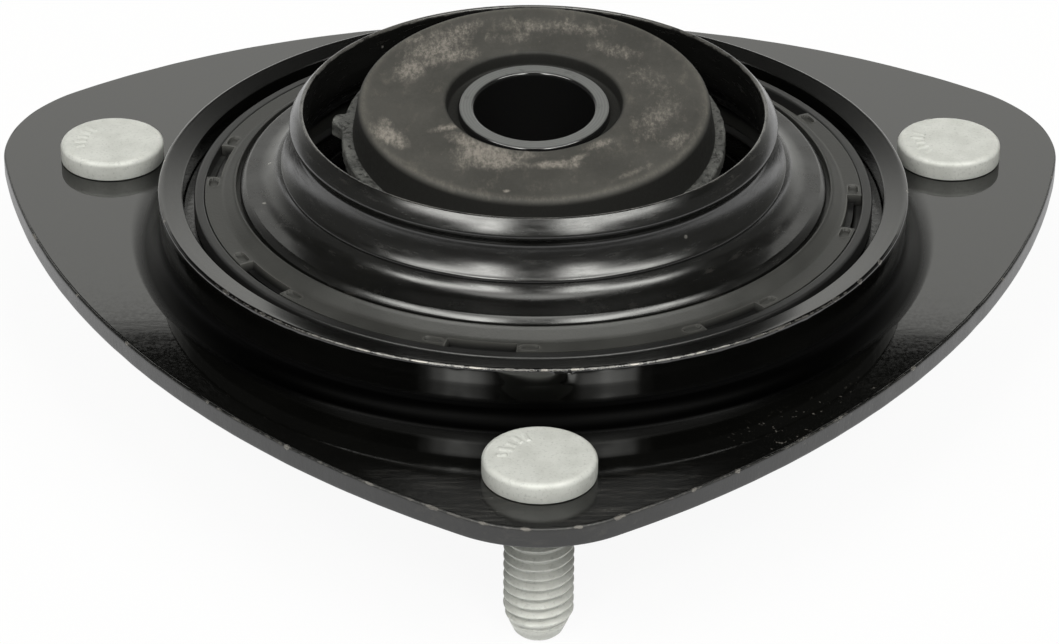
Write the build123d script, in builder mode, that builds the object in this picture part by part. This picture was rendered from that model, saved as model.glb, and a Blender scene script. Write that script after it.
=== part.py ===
from build123d import *
import os
from math import cos, radians, sin

os.makedirs("parts", exist_ok=True)

# A strut mount with a built-in bearing, spring side up. The origin is on the bearing axis,
# in the plane of the face that bolts up under the body. The front stud points to -Y.

# Mounting plate: triangular with bowed sides, lands measured from the collar to each edge's middle
plate_thickness = 2.5
plate_edge_round = 0.3
back_land = 10.0
side_land = 6.82
back_bow_radius = 94.4
side_bow_radius = 123.0
side_bow_angle = 36.5
front_corner_radius = 15.9
side_corner_radius = 20.0

# Collar, drawn up out of the plate
collar_outer_radius = 44.9
collar_wall = 2.8
collar_bend_radius = 2.5
collar_rise = 7.15
collar_edge_slope = 0.5

# Press-in studs, M8 x 1.25, on one pitch circle but not evenly spaced
front_stud_angle = 270
side_stud_angle = 20
stud_collar_gap = 1.7
stud_head_radius = 6.4
stud_head_height = 2.5
stud_head_round = 0.7
stud_shoulder_radius = 4.4
stud_thread_radius = 3.95
stud_length = 18.0
stud_point_length = 3.1
stud_point_radius = 2.6

# Bearing pan: a pressed channel inside the collar that also forms the locating spigot
pan_sheet = 1.8
pan_drop = 3.0
pan_outer_height = 9.4
pan_inner_height = 9.0
pan_corner_radius = 1.0
weld_seam_count = 6
weld_seam_angle = 28
weld_root = 0.6
weld_leg = 3.3
weld_throat = 2.2

# Bush cup: the deep cup that holds the rubber
cup_sheet = 2.0
cup_depth = 17.0
cup_mouth_gap = 4.95
cup_corner_radius = 5.0

# Bearing: balls between two grooved races, in a pocketed cage
ball_radius = 2.38
ball_count = 24
groove_radius = 2.5
race_shoulder = 0.42
race_land_gap = 1.55
upper_race_floor = 0.87
lower_race_floor = 1.07
cage_thickness = 1.5
cage_inner_web = 0.37
cage_outer_web = 0.67
pocket_clearance = 0.05

# Bearing cap, fixed: floor, inner hub, outer skirt and the brim seen outside the turning ring
cap_fit = 0.1
cap_floor_thickness = 1.4
cap_hub_wall = 1.0
cap_hub_height = 5.8
cap_skirt_wall = 1.6
cap_ledge_step = 0.1
race_hub_gap = 0.2
race_skirt_gap = 0.8
brim_collar_gap = 1.35
brim_width = 1.25
outer_seal_thickness = 0.6
outer_seal_lip = 0.3
inner_seal_lip = 0.6
seal_flange_gap = 0.1
seal_race_gap = 0.2

# Support ring, turning: carries the dome and covers the bearing
ring_running_clearance = 0.08
ring_hub_gap = 0.2
ring_skirt_gap = 0.3
ring_lip_depth = 0.8
ring_web = 2.0
ring_flange_thickness = 1.3
ring_flange_width = 1.92
ring_cone_width = 1.6
ring_cone_rise = 1.2
ring_rim_width = 0.25
window_count = 8
window_phase = 35.4
window_half_angle = 5.9
window_width = 0.92
tab_width = 1.67
tab_rim = 0.5
tab_depth = 0.3
notch_radius = 1.05
notch_length = 2.52
notch_angle = 8.3
notch_inset = 0.97
notch_depth = 0.45

# Dome: pressed spring seat spigot; insets are from its flange's edge, rises from its seat
dome_rim_gap = 0.45
dome_sheet = 1.5
dome_edge_round = 1.0
dome_flange_width = 2.2
crease_inset = 4.9
crease_rise = 3.25
bead_inset = 5.05
bead_rise = 4.6
bead_end_inset = 6.0
bead_end_rise = 5.7
neck_inset = 6.7
neck_rise = 6.8
lip_start_inset = 6.45
lip_start_rise = 7.9
lip_inset = 6.1
lip_rise = 8.9
lip_end_inset = 6.65
lip_end_rise = 10.05
lip_top_inset = 7.2
lip_top_rise = 10.45
lip_inner_inset = 7.7
lip_inner_rise = 9.95
neck_inner_inset = 8.05
bead_inner_inset = 7.6
crease_under_inset = 6.2
crease_under_rise = 2.5

# Inner sleeve, on the strut axis, which leans to the front and crosses the bearing axis at the origin
strut_axis_lean = 6.6
sleeve_bore_radius = 7.1
sleeve_wall = 1.95
sleeve_top = 20.8
sleeve_below_bush = 1.0
sleeve_chamfer = 0.4

# Stop plate, bump pad and rubber bush
moat_width = 4.6
stop_plate_thickness = 2.0
stop_plate_margin = 1.3
pad_thickness = 4.5
pad_taper = 0.8
pad_edge_round = 0.9
pad_above_sleeve = 0.8
counterbore_gap = 1.45
counterbore_depth = 1.8
bush_plate_margin = 1.9
bush_neck_taper = 4.0
bush_neck_height = 5.0
bush_waist_height = 11.1
bush_fill_drop = 2.4
bush_lip_height = 2.0

# Plate and collar, derived
collar_foot_radius = collar_outer_radius + collar_bend_radius
collar_inner_radius = collar_outer_radius - collar_wall
collar_top = plate_thickness + collar_rise
bend_top = plate_thickness + collar_bend_radius
bend_run = collar_foot_radius - collar_inner_radius
under_bend_radius = (bend_run**2 + bend_top**2) / (2 * bend_top)
back_bow_centre_y = collar_foot_radius + back_land - back_bow_radius
side_bow_offset = side_bow_radius - collar_foot_radius - side_land
side_bow_centre_x = side_bow_offset * cos(radians(side_bow_angle))
side_bow_centre_y = side_bow_offset * sin(radians(side_bow_angle))
stud_pitch_radius = collar_foot_radius + stud_collar_gap + stud_head_radius
stud_angles = {
    "stud_front": front_stud_angle,
    "stud_right": side_stud_angle,
    "stud_left": 180 - side_stud_angle,
}
stud_points = [
    (stud_pitch_radius * cos(radians(a)), stud_pitch_radius * sin(radians(a)))
    for a in stud_angles.values()
]

# Radii from the collar inwards, derived
pan_outer_radius = collar_inner_radius
cap_outer_radius = pan_outer_radius - pan_sheet - cap_fit
cap_skirt_inner_radius = cap_outer_radius - cap_skirt_wall
cap_brim_radius = collar_inner_radius - brim_collar_gap
cap_brim_inner_radius = cap_brim_radius - brim_width
race_outer_radius = cap_skirt_inner_radius - race_skirt_gap
ball_track_radius = race_outer_radius - race_shoulder - ball_radius
race_inner_radius = ball_track_radius - ball_radius - race_shoulder
pocket_radius = ball_radius + pocket_clearance
cap_hub_outer_radius = race_inner_radius - race_hub_gap
cap_inner_radius = cap_hub_outer_radius - cap_hub_wall
pan_inner_wall_radius = cap_inner_radius - cap_fit
pan_inner_radius = pan_inner_wall_radius - pan_sheet
cup_inner_radius = pan_inner_radius - cup_sheet
ring_inner_radius = pan_inner_wall_radius + ring_hub_gap
ring_body_radius = cap_skirt_inner_radius - ring_skirt_gap
ring_outer_radius = cap_brim_inner_radius - ring_running_clearance
ring_cone_radius = ring_outer_radius - ring_flange_width
ring_rim_radius = ring_cone_radius - ring_cone_width
ring_rim_inner_radius = ring_rim_radius - ring_rim_width
dome_flange_radius = ring_rim_inner_radius - dome_rim_gap
stop_plate_radius = dome_flange_radius - lip_inner_inset - moat_width
pad_bottom_radius = stop_plate_radius - stop_plate_margin
pad_top_radius = pad_bottom_radius - pad_taper
bush_top_radius = stop_plate_radius - bush_plate_margin
bush_waist_radius = bush_top_radius - bush_neck_taper
sleeve_outer_radius = sleeve_bore_radius + sleeve_wall
counterbore_radius = sleeve_outer_radius + counterbore_gap
cup_mouth_radius = sleeve_outer_radius + cup_mouth_gap

# Heights, derived
pan_bottom = -pan_drop
pan_rim_top = pan_bottom + pan_outer_height
cup_top = pan_bottom + pan_inner_height
cup_bottom = cup_top - cup_depth
cap_floor_bottom = pan_bottom + pan_sheet
cap_hub_top = cap_floor_bottom + cap_hub_height
cap_brim_bottom = pan_rim_top + cap_fit
cap_ledge_height = cap_brim_bottom + cap_ledge_step
upper_race_bottom = cap_floor_bottom + cap_floor_thickness
ball_height = upper_race_bottom + upper_race_floor + ball_radius
upper_race_top = ball_height - race_land_gap
lower_race_bottom = ball_height + race_land_gap
lower_race_top = ball_height + ball_radius + lower_race_floor
inner_seal_top = lower_race_top - seal_race_gap
ring_body_bottom = lower_race_top - ring_lip_depth
ring_flange_bottom = cap_ledge_height + outer_seal_thickness + seal_flange_gap
ring_flange_top = ring_flange_bottom + ring_flange_thickness
ring_rim_top = ring_flange_top + ring_cone_rise
dome_seat_height = lower_race_top + ring_web
dome_section = Plane(
    origin=(dome_flange_radius, 0, dome_seat_height), x_dir=(1, 0, 0), z_dir=(0, -1, 0)
)

# Strut axis, its planes and the heights along it, derived
lean = radians(strut_axis_lean)
strut_plane = Plane(origin=(0, 0, 0), x_dir=(1, 0, 0), z_dir=(0, -sin(lean), cos(lean)))
strut_section = Plane(origin=(0, 0, 0), x_dir=(1, 0, 0), z_dir=(0, -cos(lean), -sin(lean)))
strut_line = Axis((0, 0, 0), (0, -sin(lean), cos(lean)))
sleeve_bottom = cup_bottom - bush_lip_height - sleeve_below_bush
sleeve_length = sleeve_top - sleeve_bottom
pad_top = sleeve_top + pad_above_sleeve
pad_bottom = pad_top - pad_thickness
stop_plate_bottom = pad_bottom - stop_plate_thickness
bush_neck_bottom = stop_plate_bottom - bush_neck_height
bush_root = bush_neck_bottom - bush_waist_height

# Mounting plate
with BuildPart() as mounting_plate:
    with BuildSketch() as outline:
        with Locations((0, back_bow_centre_y)):
            Circle(back_bow_radius)
        with Locations((-side_bow_centre_x, side_bow_centre_y)):
            Circle(side_bow_radius, mode=Mode.INTERSECT)
        with Locations((side_bow_centre_x, side_bow_centre_y)):
            Circle(side_bow_radius, mode=Mode.INTERSECT)
        fillet(outline.vertices().sort_by(Axis.Y)[0], front_corner_radius)
        fillet(outline.vertices().group_by(Axis.X)[0], side_corner_radius)
        fillet(outline.vertices().group_by(Axis.X)[-1], side_corner_radius)
    extrude(amount=plate_thickness)
    fillet(mounting_plate.faces().sort_by(Axis.Z)[0].outer_wire().edges(), plate_edge_round)
    fillet(mounting_plate.faces().sort_by(Axis.Z)[-1].outer_wire().edges(), plate_edge_round)
    with BuildSketch():
        Circle(collar_foot_radius)
    extrude(amount=plate_thickness, mode=Mode.SUBTRACT)
    # collar with its bend, one section revolved
    with BuildSketch(Plane.XZ):
        with BuildLine():
            Line((collar_foot_radius, 0), (collar_foot_radius, plate_thickness))
            RadiusArc(
                (collar_foot_radius, plate_thickness),
                (collar_outer_radius, bend_top),
                collar_bend_radius,
            )
            Polyline(
                (collar_outer_radius, bend_top),
                (collar_outer_radius, collar_top),
                (collar_inner_radius, collar_top - collar_edge_slope),
                (collar_inner_radius, bend_top),
            )
            TangentArc((collar_foot_radius, 0), (collar_inner_radius, bend_top), tangent=(-1, 0))
        make_face()
    revolve(axis=Axis.Z)
    with Locations(*stud_points):
        Hole(stud_shoulder_radius)
mounting_plate.part.label = "mounting_plate"
export_step(mounting_plate.part, "parts/mounting_plate.step")

# Studs: flat round head on the plate, shoulder pressed into it, thread below
for stud_name, stud_point in zip(stud_angles, stud_points):
    with BuildPart() as stud:
        with BuildSketch(Plane.XZ):
            with BuildLine():
                Polyline(
                    (0, plate_thickness + stud_head_height),
                    (stud_head_radius, plate_thickness + stud_head_height),
                    (stud_head_radius, plate_thickness),
                    (stud_shoulder_radius, plate_thickness),
                    (stud_shoulder_radius, 0),
                    (stud_thread_radius, 0),
                    (stud_thread_radius, -stud_length + stud_point_length),
                    (stud_point_radius, -stud_length),
                    (0, -stud_length),
                    close=True,
                )
            make_face()
        revolve(axis=Axis.Z)
        fillet(stud.edges().sort_by(Axis.Z)[-1], stud_head_round)
    placed = stud.part.moved(Location(stud_point))
    placed.label = stud_name
    export_step(placed, f"parts/{stud_name}.step")

# Bearing pan
with BuildPart() as bearing_pan:
    with BuildSketch(Plane.XZ) as pan_section:
        with BuildLine():
            Polyline(
                (pan_inner_radius, cup_top),
                (pan_inner_radius, pan_bottom),
                (pan_outer_radius, pan_bottom),
                (pan_outer_radius, pan_rim_top),
                (pan_outer_radius - pan_sheet, pan_rim_top),
                (pan_outer_radius - pan_sheet, pan_bottom + pan_sheet),
                (pan_inner_wall_radius, pan_bottom + pan_sheet),
                (pan_inner_wall_radius, cup_top),
                close=True,
            )
        make_face()
        bottom_corners = pan_section.vertices().group_by(Axis.Y)[0]
        fillet(bottom_corners.sort_by(Axis.X)[-1], pan_corner_radius + pan_sheet)
    revolve(axis=Axis.Z)
bearing_pan.part.label = "bearing_pan"
export_step(bearing_pan.part, "parts/bearing_pan.step")

# Weld seams that join the pan to the bend of the collar, seen from the body side
with BuildPart() as weld_seams:
    for seam in range(weld_seam_count):
        seam_angle = radians(seam * 360 / weld_seam_count)
        seam_plane = Plane(
            origin=(0, 0, 0),
            x_dir=(cos(seam_angle), sin(seam_angle), 0),
            z_dir=(sin(seam_angle), -cos(seam_angle), 0),
        )
        with BuildSketch(seam_plane):
            with BuildLine():
                Polyline(
                    (pan_outer_radius, bend_top - weld_root),
                    (pan_outer_radius, bend_top - weld_root - weld_leg),
                    (pan_outer_radius + weld_throat, bend_top - weld_leg),
                    close=True,
                )
            make_face()
            with Locations((collar_foot_radius, under_bend_radius)):
                Circle(under_bend_radius, mode=Mode.SUBTRACT)
        revolve(axis=Axis.Z, revolution_arc=weld_seam_angle)
weld_seams.part.label = "weld_seams"
export_step(weld_seams.part, "parts/weld_seams.step")

# Bush cup
with BuildPart() as bush_cup:
    with BuildSketch(Plane.XZ) as cup_section:
        with BuildLine():
            Polyline(
                (cup_inner_radius, cup_top),
                (pan_inner_radius, cup_top),
                (pan_inner_radius, cup_bottom),
                (cup_mouth_radius, cup_bottom),
                (cup_mouth_radius, cup_bottom + cup_sheet),
                (cup_inner_radius, cup_bottom + cup_sheet),
                close=True,
            )
        make_face()
        outer_corner = cup_section.vertices().group_by(Axis.Y)[0].sort_by(Axis.X)[-1]
        fillet(outer_corner, cup_corner_radius)
        inner_corner = cup_section.vertices().group_by(Axis.Y)[1].sort_by(Axis.X)[-1]
        fillet(inner_corner, cup_corner_radius - cup_sheet)
    revolve(axis=Axis.Z)
bush_cup.part.label = "bush_cup"
export_step(bush_cup.part, "parts/bush_cup.step")

# Bearing cap
with BuildPart() as bearing_cap:
    with BuildSketch(Plane.XZ):
        with BuildLine():
            Polyline(
                (cap_inner_radius, cap_floor_bottom),
                (cap_outer_radius, cap_floor_bottom),
                (cap_outer_radius, cap_brim_bottom),
                (cap_brim_radius, cap_brim_bottom),
                (cap_brim_radius, ring_flange_top),
                (cap_brim_inner_radius, ring_flange_top),
                (cap_brim_inner_radius, cap_ledge_height),
                (cap_skirt_inner_radius, cap_ledge_height),
                (cap_skirt_inner_radius, upper_race_bottom),
                (cap_hub_outer_radius, upper_race_bottom),
                (cap_hub_outer_radius, cap_hub_top),
                (cap_inner_radius, cap_hub_top),
                close=True,
            )
        make_face()
    revolve(axis=Axis.Z)
bearing_cap.part.label = "bearing_cap"
export_step(bearing_cap.part, "parts/bearing_cap.step")

# Upper race, on the body side, fixed in the cap
with BuildPart() as upper_race:
    with BuildSketch(Plane.XZ):
        with Locations((race_inner_radius, upper_race_bottom)):
            Rectangle(
                race_outer_radius - race_inner_radius,
                upper_race_top - upper_race_bottom,
                align=(Align.MIN, Align.MIN),
            )
        with Locations((ball_track_radius, ball_height + groove_radius - ball_radius)):
            Circle(groove_radius, mode=Mode.SUBTRACT)
    revolve(axis=Axis.Z)
upper_race.part.label = "upper_race"
export_step(upper_race.part, "parts/upper_race.step")

# Lower race, on the spring side, turning with the support ring
with BuildPart() as lower_race:
    with BuildSketch(Plane.XZ):
        with Locations((race_inner_radius, lower_race_bottom)):
            Rectangle(
                race_outer_radius - race_inner_radius,
                lower_race_top - lower_race_bottom,
                align=(Align.MIN, Align.MIN),
            )
        with Locations((ball_track_radius, ball_height - groove_radius + ball_radius)):
            Circle(groove_radius, mode=Mode.SUBTRACT)
    revolve(axis=Axis.Z)
lower_race.part.label = "lower_race"
export_step(lower_race.part, "parts/lower_race.step")

# Ball cage with one round pocket for each ball
with BuildPart() as ball_cage:
    with BuildSketch(Plane.XY.offset(ball_height - cage_thickness / 2)):
        Circle(ball_track_radius + pocket_radius + cage_outer_web)
        Circle(ball_track_radius - pocket_radius - cage_inner_web, mode=Mode.SUBTRACT)
        with PolarLocations(ball_track_radius, ball_count):
            Circle(pocket_radius, mode=Mode.SUBTRACT)
    extrude(amount=cage_thickness)
ball_cage.part.label = "ball_cage"
export_step(ball_cage.part, "parts/ball_cage.step")

# Bearing balls
with BuildPart(Plane.XY.offset(ball_height)) as bearing_balls:
    with PolarLocations(ball_track_radius, ball_count):
        Sphere(ball_radius)
bearing_balls.part.label = "bearing_balls"
export_step(bearing_balls.part, "parts/bearing_balls.step")

# Outer seal, a lip ring on the ledge of the cap under the turning flange
with BuildPart() as outer_seal:
    with BuildSketch(Plane.XY.offset(cap_ledge_height)):
        Circle(cap_brim_inner_radius)
        Circle(cap_skirt_inner_radius, mode=Mode.SUBTRACT)
    extrude(amount=outer_seal_thickness)
    outer_seal_edges = outer_seal.edges().group_by(Axis.Z)[-1].sort_by(SortBy.RADIUS)
    chamfer(outer_seal_edges[0], outer_seal_lip)
outer_seal.part.label = "outer_seal"
export_step(outer_seal.part, "parts/outer_seal.step")

# Inner seal, a lip ring on the hub of the cap
with BuildPart() as inner_seal:
    with BuildSketch(Plane.XY.offset(cap_hub_top)):
        Circle(cap_hub_outer_radius)
        Circle(cap_inner_radius, mode=Mode.SUBTRACT)
    extrude(amount=inner_seal_top - cap_hub_top)
    inner_seal_edges = inner_seal.edges().group_by(Axis.Z)[-1].sort_by(SortBy.RADIUS)
    chamfer(inner_seal_edges[0], inner_seal_lip)
inner_seal.part.label = "inner_seal"
export_step(inner_seal.part, "parts/inner_seal.step")

# Support ring: flange with moulded snap windows, cone and rim round the dome's flange
with BuildPart() as support_ring:
    with BuildSketch(Plane.XZ):
        with BuildLine():
            Polyline(
                (ring_inner_radius, lower_race_top),
                (race_outer_radius, lower_race_top),
                (race_outer_radius, ring_body_bottom),
                (ring_body_radius, ring_body_bottom),
                (ring_body_radius, ring_flange_bottom),
                (ring_outer_radius, ring_flange_bottom),
                (ring_outer_radius, ring_flange_top),
                (ring_cone_radius, ring_flange_top),
                (ring_rim_radius, ring_rim_top),
                (ring_rim_inner_radius, ring_rim_top),
                (ring_rim_inner_radius, dome_seat_height),
                (ring_inner_radius, dome_seat_height),
                close=True,
            )
        make_face()
    revolve(axis=Axis.Z)
    # windows right through the flange at its edge
    with BuildSketch(Plane.XY.offset(ring_flange_top)):
        with PolarLocations(0, window_count, start_angle=window_phase - window_half_angle):
            with BuildLine():
                near_start = Vector(ring_outer_radius - window_width, 0)
                near_end = near_start.rotate(Axis.Z, 2 * window_half_angle)
                near_mid = near_start.rotate(Axis.Z, window_half_angle)
                far_start = Vector(ring_outer_radius + window_width, 0)
                far_end = far_start.rotate(Axis.Z, 2 * window_half_angle)
                ThreePointArc(near_start, near_mid, near_end)
                Polyline(near_end, far_end, far_start, near_start)
            make_face()
    extrude(amount=-ring_flange_thickness, mode=Mode.SUBTRACT)
    # shallow step beside each window
    with BuildSketch(Plane.XY.offset(ring_flange_top)):
        with PolarLocations(0, window_count, start_angle=window_phase - window_half_angle):
            with BuildLine():
                tab_start = Vector(ring_outer_radius - tab_width, 0)
                tab_end = tab_start.rotate(Axis.Z, 2 * window_half_angle)
                tab_mid = tab_start.rotate(Axis.Z, window_half_angle)
                edge_start = Vector(ring_outer_radius - tab_rim, 0)
                edge_end = edge_start.rotate(Axis.Z, 2 * window_half_angle)
                ThreePointArc(tab_start, tab_mid, tab_end)
                Polyline(tab_end, edge_end, edge_start, tab_start)
            make_face()
    extrude(amount=-tab_depth, mode=Mode.SUBTRACT)
    # blind notch at each end of each window
    with BuildSketch(Plane.XY.offset(ring_flange_top)):
        for side in (-1, 1):
            with PolarLocations(
                ring_outer_radius - notch_inset,
                window_count,
                start_angle=window_phase + side * notch_angle,
            ):
                SlotOverall(notch_length, notch_radius, rotation=90)
    extrude(amount=-notch_depth, mode=Mode.SUBTRACT)
support_ring.part.label = "support_ring"
export_step(support_ring.part, "parts/support_ring.step")

# Dome
with BuildPart() as spring_seat_dome:
    with BuildSketch(dome_section) as dome_profile:
        with BuildLine():
            Line((0, dome_sheet), (-dome_flange_width, dome_sheet))
            TangentArc(
                (-dome_flange_width, dome_sheet), (-crease_inset, crease_rise), tangent=(-1, 0)
            )
            ThreePointArc(
                (-crease_inset, crease_rise),
                (-bead_inset, bead_rise),
                (-bead_end_inset, bead_end_rise),
            )
            ThreePointArc(
                (-bead_end_inset, bead_end_rise),
                (-neck_inset, neck_rise),
                (-lip_start_inset, lip_start_rise),
            )
            ThreePointArc(
                (-lip_start_inset, lip_start_rise),
                (-lip_inset, lip_rise),
                (-lip_end_inset, lip_end_rise),
            )
            ThreePointArc(
                (-lip_end_inset, lip_end_rise),
                (-lip_top_inset, lip_top_rise),
                (-lip_inner_inset, lip_inner_rise),
            )
            Line((-lip_inner_inset, lip_inner_rise), (-neck_inner_inset, neck_rise))
            ThreePointArc(
                (-neck_inner_inset, neck_rise),
                (-bead_inner_inset, bead_rise),
                (-crease_under_inset, crease_under_rise),
            )
            TangentArc(
                (-dome_flange_width, 0), (-crease_under_inset, crease_under_rise), tangent=(-1, 0)
            )
            Polyline((-dome_flange_width, 0), (0, 0), (0, dome_sheet))
        make_face()
        edge_corners = dome_profile.vertices().group_by(Axis.X)[-1]
        fillet(edge_corners.sort_by(Axis.Z)[-1], dome_edge_round)
    revolve(axis=Axis.Z)
spring_seat_dome.part.label = "spring_seat_dome"
export_step(spring_seat_dome.part, "parts/spring_seat_dome.step")

# Inner sleeve, clamped on the strut's rod
with BuildPart() as inner_sleeve:
    with BuildSketch(strut_section) as sleeve_section:
        with Locations((sleeve_bore_radius, sleeve_bottom)):
            Rectangle(sleeve_wall, sleeve_length, align=(Align.MIN, Align.MIN))
        chamfer(sleeve_section.vertices(), sleeve_chamfer)
    revolve(axis=strut_line)
inner_sleeve.part.label = "inner_sleeve"
export_step(inner_sleeve.part, "parts/inner_sleeve.step")

# Stop plate, the steel disc on the sleeve whose edge shows round the pad
with BuildPart() as stop_plate:
    with BuildSketch(strut_plane.offset(stop_plate_bottom)):
        Circle(stop_plate_radius)
        Circle(sleeve_outer_radius, mode=Mode.SUBTRACT)
    extrude(amount=stop_plate_thickness)
stop_plate.part.label = "stop_plate"
export_step(stop_plate.part, "parts/stop_plate.step")

# Bump pad, the rubber disc bonded to the stop plate
with BuildPart() as bump_pad:
    with BuildSketch(strut_section) as pad_section:
        with BuildLine():
            Polyline(
                (sleeve_outer_radius, pad_bottom),
                (pad_bottom_radius, pad_bottom),
                (pad_top_radius, pad_top),
                (counterbore_radius, pad_top),
                (counterbore_radius, pad_top - counterbore_depth),
                (sleeve_outer_radius, pad_top - counterbore_depth),
                close=True,
            )
        make_face()
        fillet(pad_section.vertices().group_by(Axis.Z)[-1].sort_by(Axis.X)[-1], pad_edge_round)
    revolve(axis=strut_line)
bump_pad.part.label = "bump_pad"
export_step(bump_pad.part, "parts/bump_pad.step")

# Rubber bush between the cup and the sleeve
with BuildPart() as rubber_bush:
    with BuildSketch(Plane.XZ) as fill_section:
        with BuildLine():
            Polyline(
                (0, cup_top - bush_fill_drop),
                (cup_inner_radius, cup_top - bush_fill_drop),
                (cup_inner_radius, cup_bottom + cup_sheet),
                (cup_mouth_radius, cup_bottom + cup_sheet),
                (cup_mouth_radius, cup_bottom - bush_lip_height),
                (0, cup_bottom - bush_lip_height),
                close=True,
            )
        make_face()
        floor_corner = fill_section.vertices().group_by(Axis.Y)[1].sort_by(Axis.X)[-1]
        fillet(floor_corner, cup_corner_radius - cup_sheet)
    revolve(axis=Axis.Z)
    with BuildSketch(strut_section):
        with BuildLine():
            Polyline(
                (0, stop_plate_bottom),
                (bush_top_radius, stop_plate_bottom),
                (bush_waist_radius, bush_neck_bottom),
                (bush_waist_radius, bush_root),
                (0, bush_root),
                close=True,
            )
        make_face()
    revolve(axis=strut_line)
    with BuildSketch(strut_plane):
        Circle(sleeve_outer_radius)
    extrude(amount=sleeve_length, both=True, mode=Mode.SUBTRACT)
rubber_bush.part.label = "rubber_bush"
export_step(rubber_bush.part, "parts/rubber_bush.step")
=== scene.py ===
import math

import bmesh
import bpy
import numpy as np
from mathutils import Matrix, Vector


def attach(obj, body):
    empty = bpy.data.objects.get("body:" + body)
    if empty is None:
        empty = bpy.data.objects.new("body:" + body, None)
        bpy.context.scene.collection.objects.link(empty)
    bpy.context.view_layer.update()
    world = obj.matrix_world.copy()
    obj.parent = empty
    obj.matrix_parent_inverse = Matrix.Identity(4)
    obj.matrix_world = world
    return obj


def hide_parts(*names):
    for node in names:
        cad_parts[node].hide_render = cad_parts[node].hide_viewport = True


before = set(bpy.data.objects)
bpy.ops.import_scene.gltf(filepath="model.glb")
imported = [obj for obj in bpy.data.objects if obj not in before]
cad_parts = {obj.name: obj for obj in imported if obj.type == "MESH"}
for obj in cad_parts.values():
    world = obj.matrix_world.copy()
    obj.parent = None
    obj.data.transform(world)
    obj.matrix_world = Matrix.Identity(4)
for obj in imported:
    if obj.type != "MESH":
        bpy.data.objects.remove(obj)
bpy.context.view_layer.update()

# Camera: at the photograph's viewing angle, about half a metre away and 30 degrees up, on a long
# lens. It stands a degree to the left of the front stud and is turned by less than half a degree.
camera_distance = 0.52255
camera_elevation = math.radians(29.998)
camera_azimuth = math.radians(-0.952)
camera_roll = math.radians(0.428)
camera_lens = 144.95
camera_shift = -0.0026
looked_at = Vector((0.0, 0.0, -0.010283))

away = Vector(
    (
        math.sin(camera_azimuth) * math.cos(camera_elevation),
        -math.cos(camera_azimuth) * math.cos(camera_elevation),
        math.sin(camera_elevation),
    )
)
level = Vector((math.cos(camera_azimuth), math.sin(camera_azimuth), 0.0))
upright = away.cross(level)
rolled = level * math.cos(camera_roll) + upright * math.sin(camera_roll)
raised = upright * math.cos(camera_roll) - level * math.sin(camera_roll)
stand = looked_at + away * camera_distance
camera = bpy.data.objects.new("camera", bpy.data.cameras.new("camera"))
camera.matrix_world = Matrix(
    [(rolled[axis], raised[axis], away[axis], stand[axis]) for axis in range(3)] + [(0.0, 0.0, 0.0, 1.0)]
)
camera.data.sensor_fit = "HORIZONTAL"
camera.data.sensor_width = 36.0
camera.data.lens = camera_lens
camera.data.shift_x = camera_shift
camera.data.clip_start = 0.02
bpy.context.scene.collection.objects.link(camera)
bpy.context.scene.camera = camera

# Mounting plate with its collar: 2.5 mm steel, blanked and drawn in a press, then dip painted
# black. The sheared edge is thinly covered, and handling has chipped it and the collar's rim.
plate_thickness = 2.5
plate_edge_round = 0.3
plate_edge_rows = (0.55, 0.95, 1.35, 1.7, 1.95)
back_bow = (0.0, -37.0, 94.4)
right_bow = (55.29, 40.91, 123.0)
left_bow = (-55.29, 40.91, 123.0)
front_corner_radius = 15.9
side_corner_radius = 20.0
collar_inner, collar_outer, collar_foot = 42.1, 44.9, 47.4
collar_wall, collar_bend = 2.8, 2.5
collar_top, collar_bend_top, collar_slope = 9.65, 5.0, 0.5
collar_under_bend = 5.309
collar_rows = (5.6, 6.3, 6.9, 7.3)
# the wall's upper end spreads by a tenth of a millimetre before it turns in over the rim
collar_spread = ((44.905, 7.5), (44.925, 7.8), (44.95, 8.15), (44.972, 8.5), (44.99, 8.8), (45.0, 9.05))
rim_radius, rim_height, rim_round = 44.64, 9.2, 0.36
rim_crest = (44.9, 9.45)
coating_black = (0.0016, 0.0016, 0.0014)
bare_steel = (0.27, 0.258, 0.24)
# chips: direction seen from the bearing axis in degrees, length and depth in mm
plate_chips = (
    (-178.8, 3.0, 0.5), (-163.9, 1.2, 0.4), (-150.4, 1.6, 0.5), (-133.0, 1.0, 0.4),
    (-119.4, 1.7, 0.7), (-108.0, 2.6, 0.35), (-100.7, 3.4, 0.55), (-95.5, 2.4, 0.5),
    (-91.5, 2.6, 0.6), (-86.5, 1.8, 0.5), (-82.3, 3.0, 0.6), (-74.0, 1.4, 0.5),
    (-68.3, 1.8, 0.7), (-52.0, 1.4, 0.4), (-37.1, 2.0, 0.5), (-12.0, 1.4, 0.5),
    (12.0, 2.2, 0.5), (34.0, 2.6, 0.5), (43.8, 2.2, 0.5), (71.0, 1.8, 0.4),
    (98.0, 1.5, 0.5), (128.8, 2.4, 0.5), (149.0, 1.8, 0.4),
)
collar_chips = (
    (-166.7, 1.3, 0.4), (-142.5, 2.4, 0.6), (-133.9, 1.8, 0.5), (-124.0, 2.4, 0.3),
    (-116.0, 4.0, 0.35), (-107.0, 5.0, 0.35), (-99.0, 4.0, 0.3), (-89.1, 2.0, 0.45),
    (-84.8, 2.2, 0.45), (-76.0, 3.4, 0.35), (-66.0, 3.4, 0.35), (-52.1, 2.2, 0.5),
    (-40.2, 2.4, 0.5), (-33.7, 2.0, 0.6), (-26.9, 2.4, 0.6), (-3.8, 1.4, 0.4),
    (28.0, 1.6, 0.4), (81.0, 2.0, 0.4), (118.0, 1.7, 0.4), (173.9, 1.6, 0.5),
)


def wrapped(angle):
    """An angle brought to between minus half a turn and half a turn."""
    return (angle + math.pi) % (2 * math.pi) - math.pi


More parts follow.
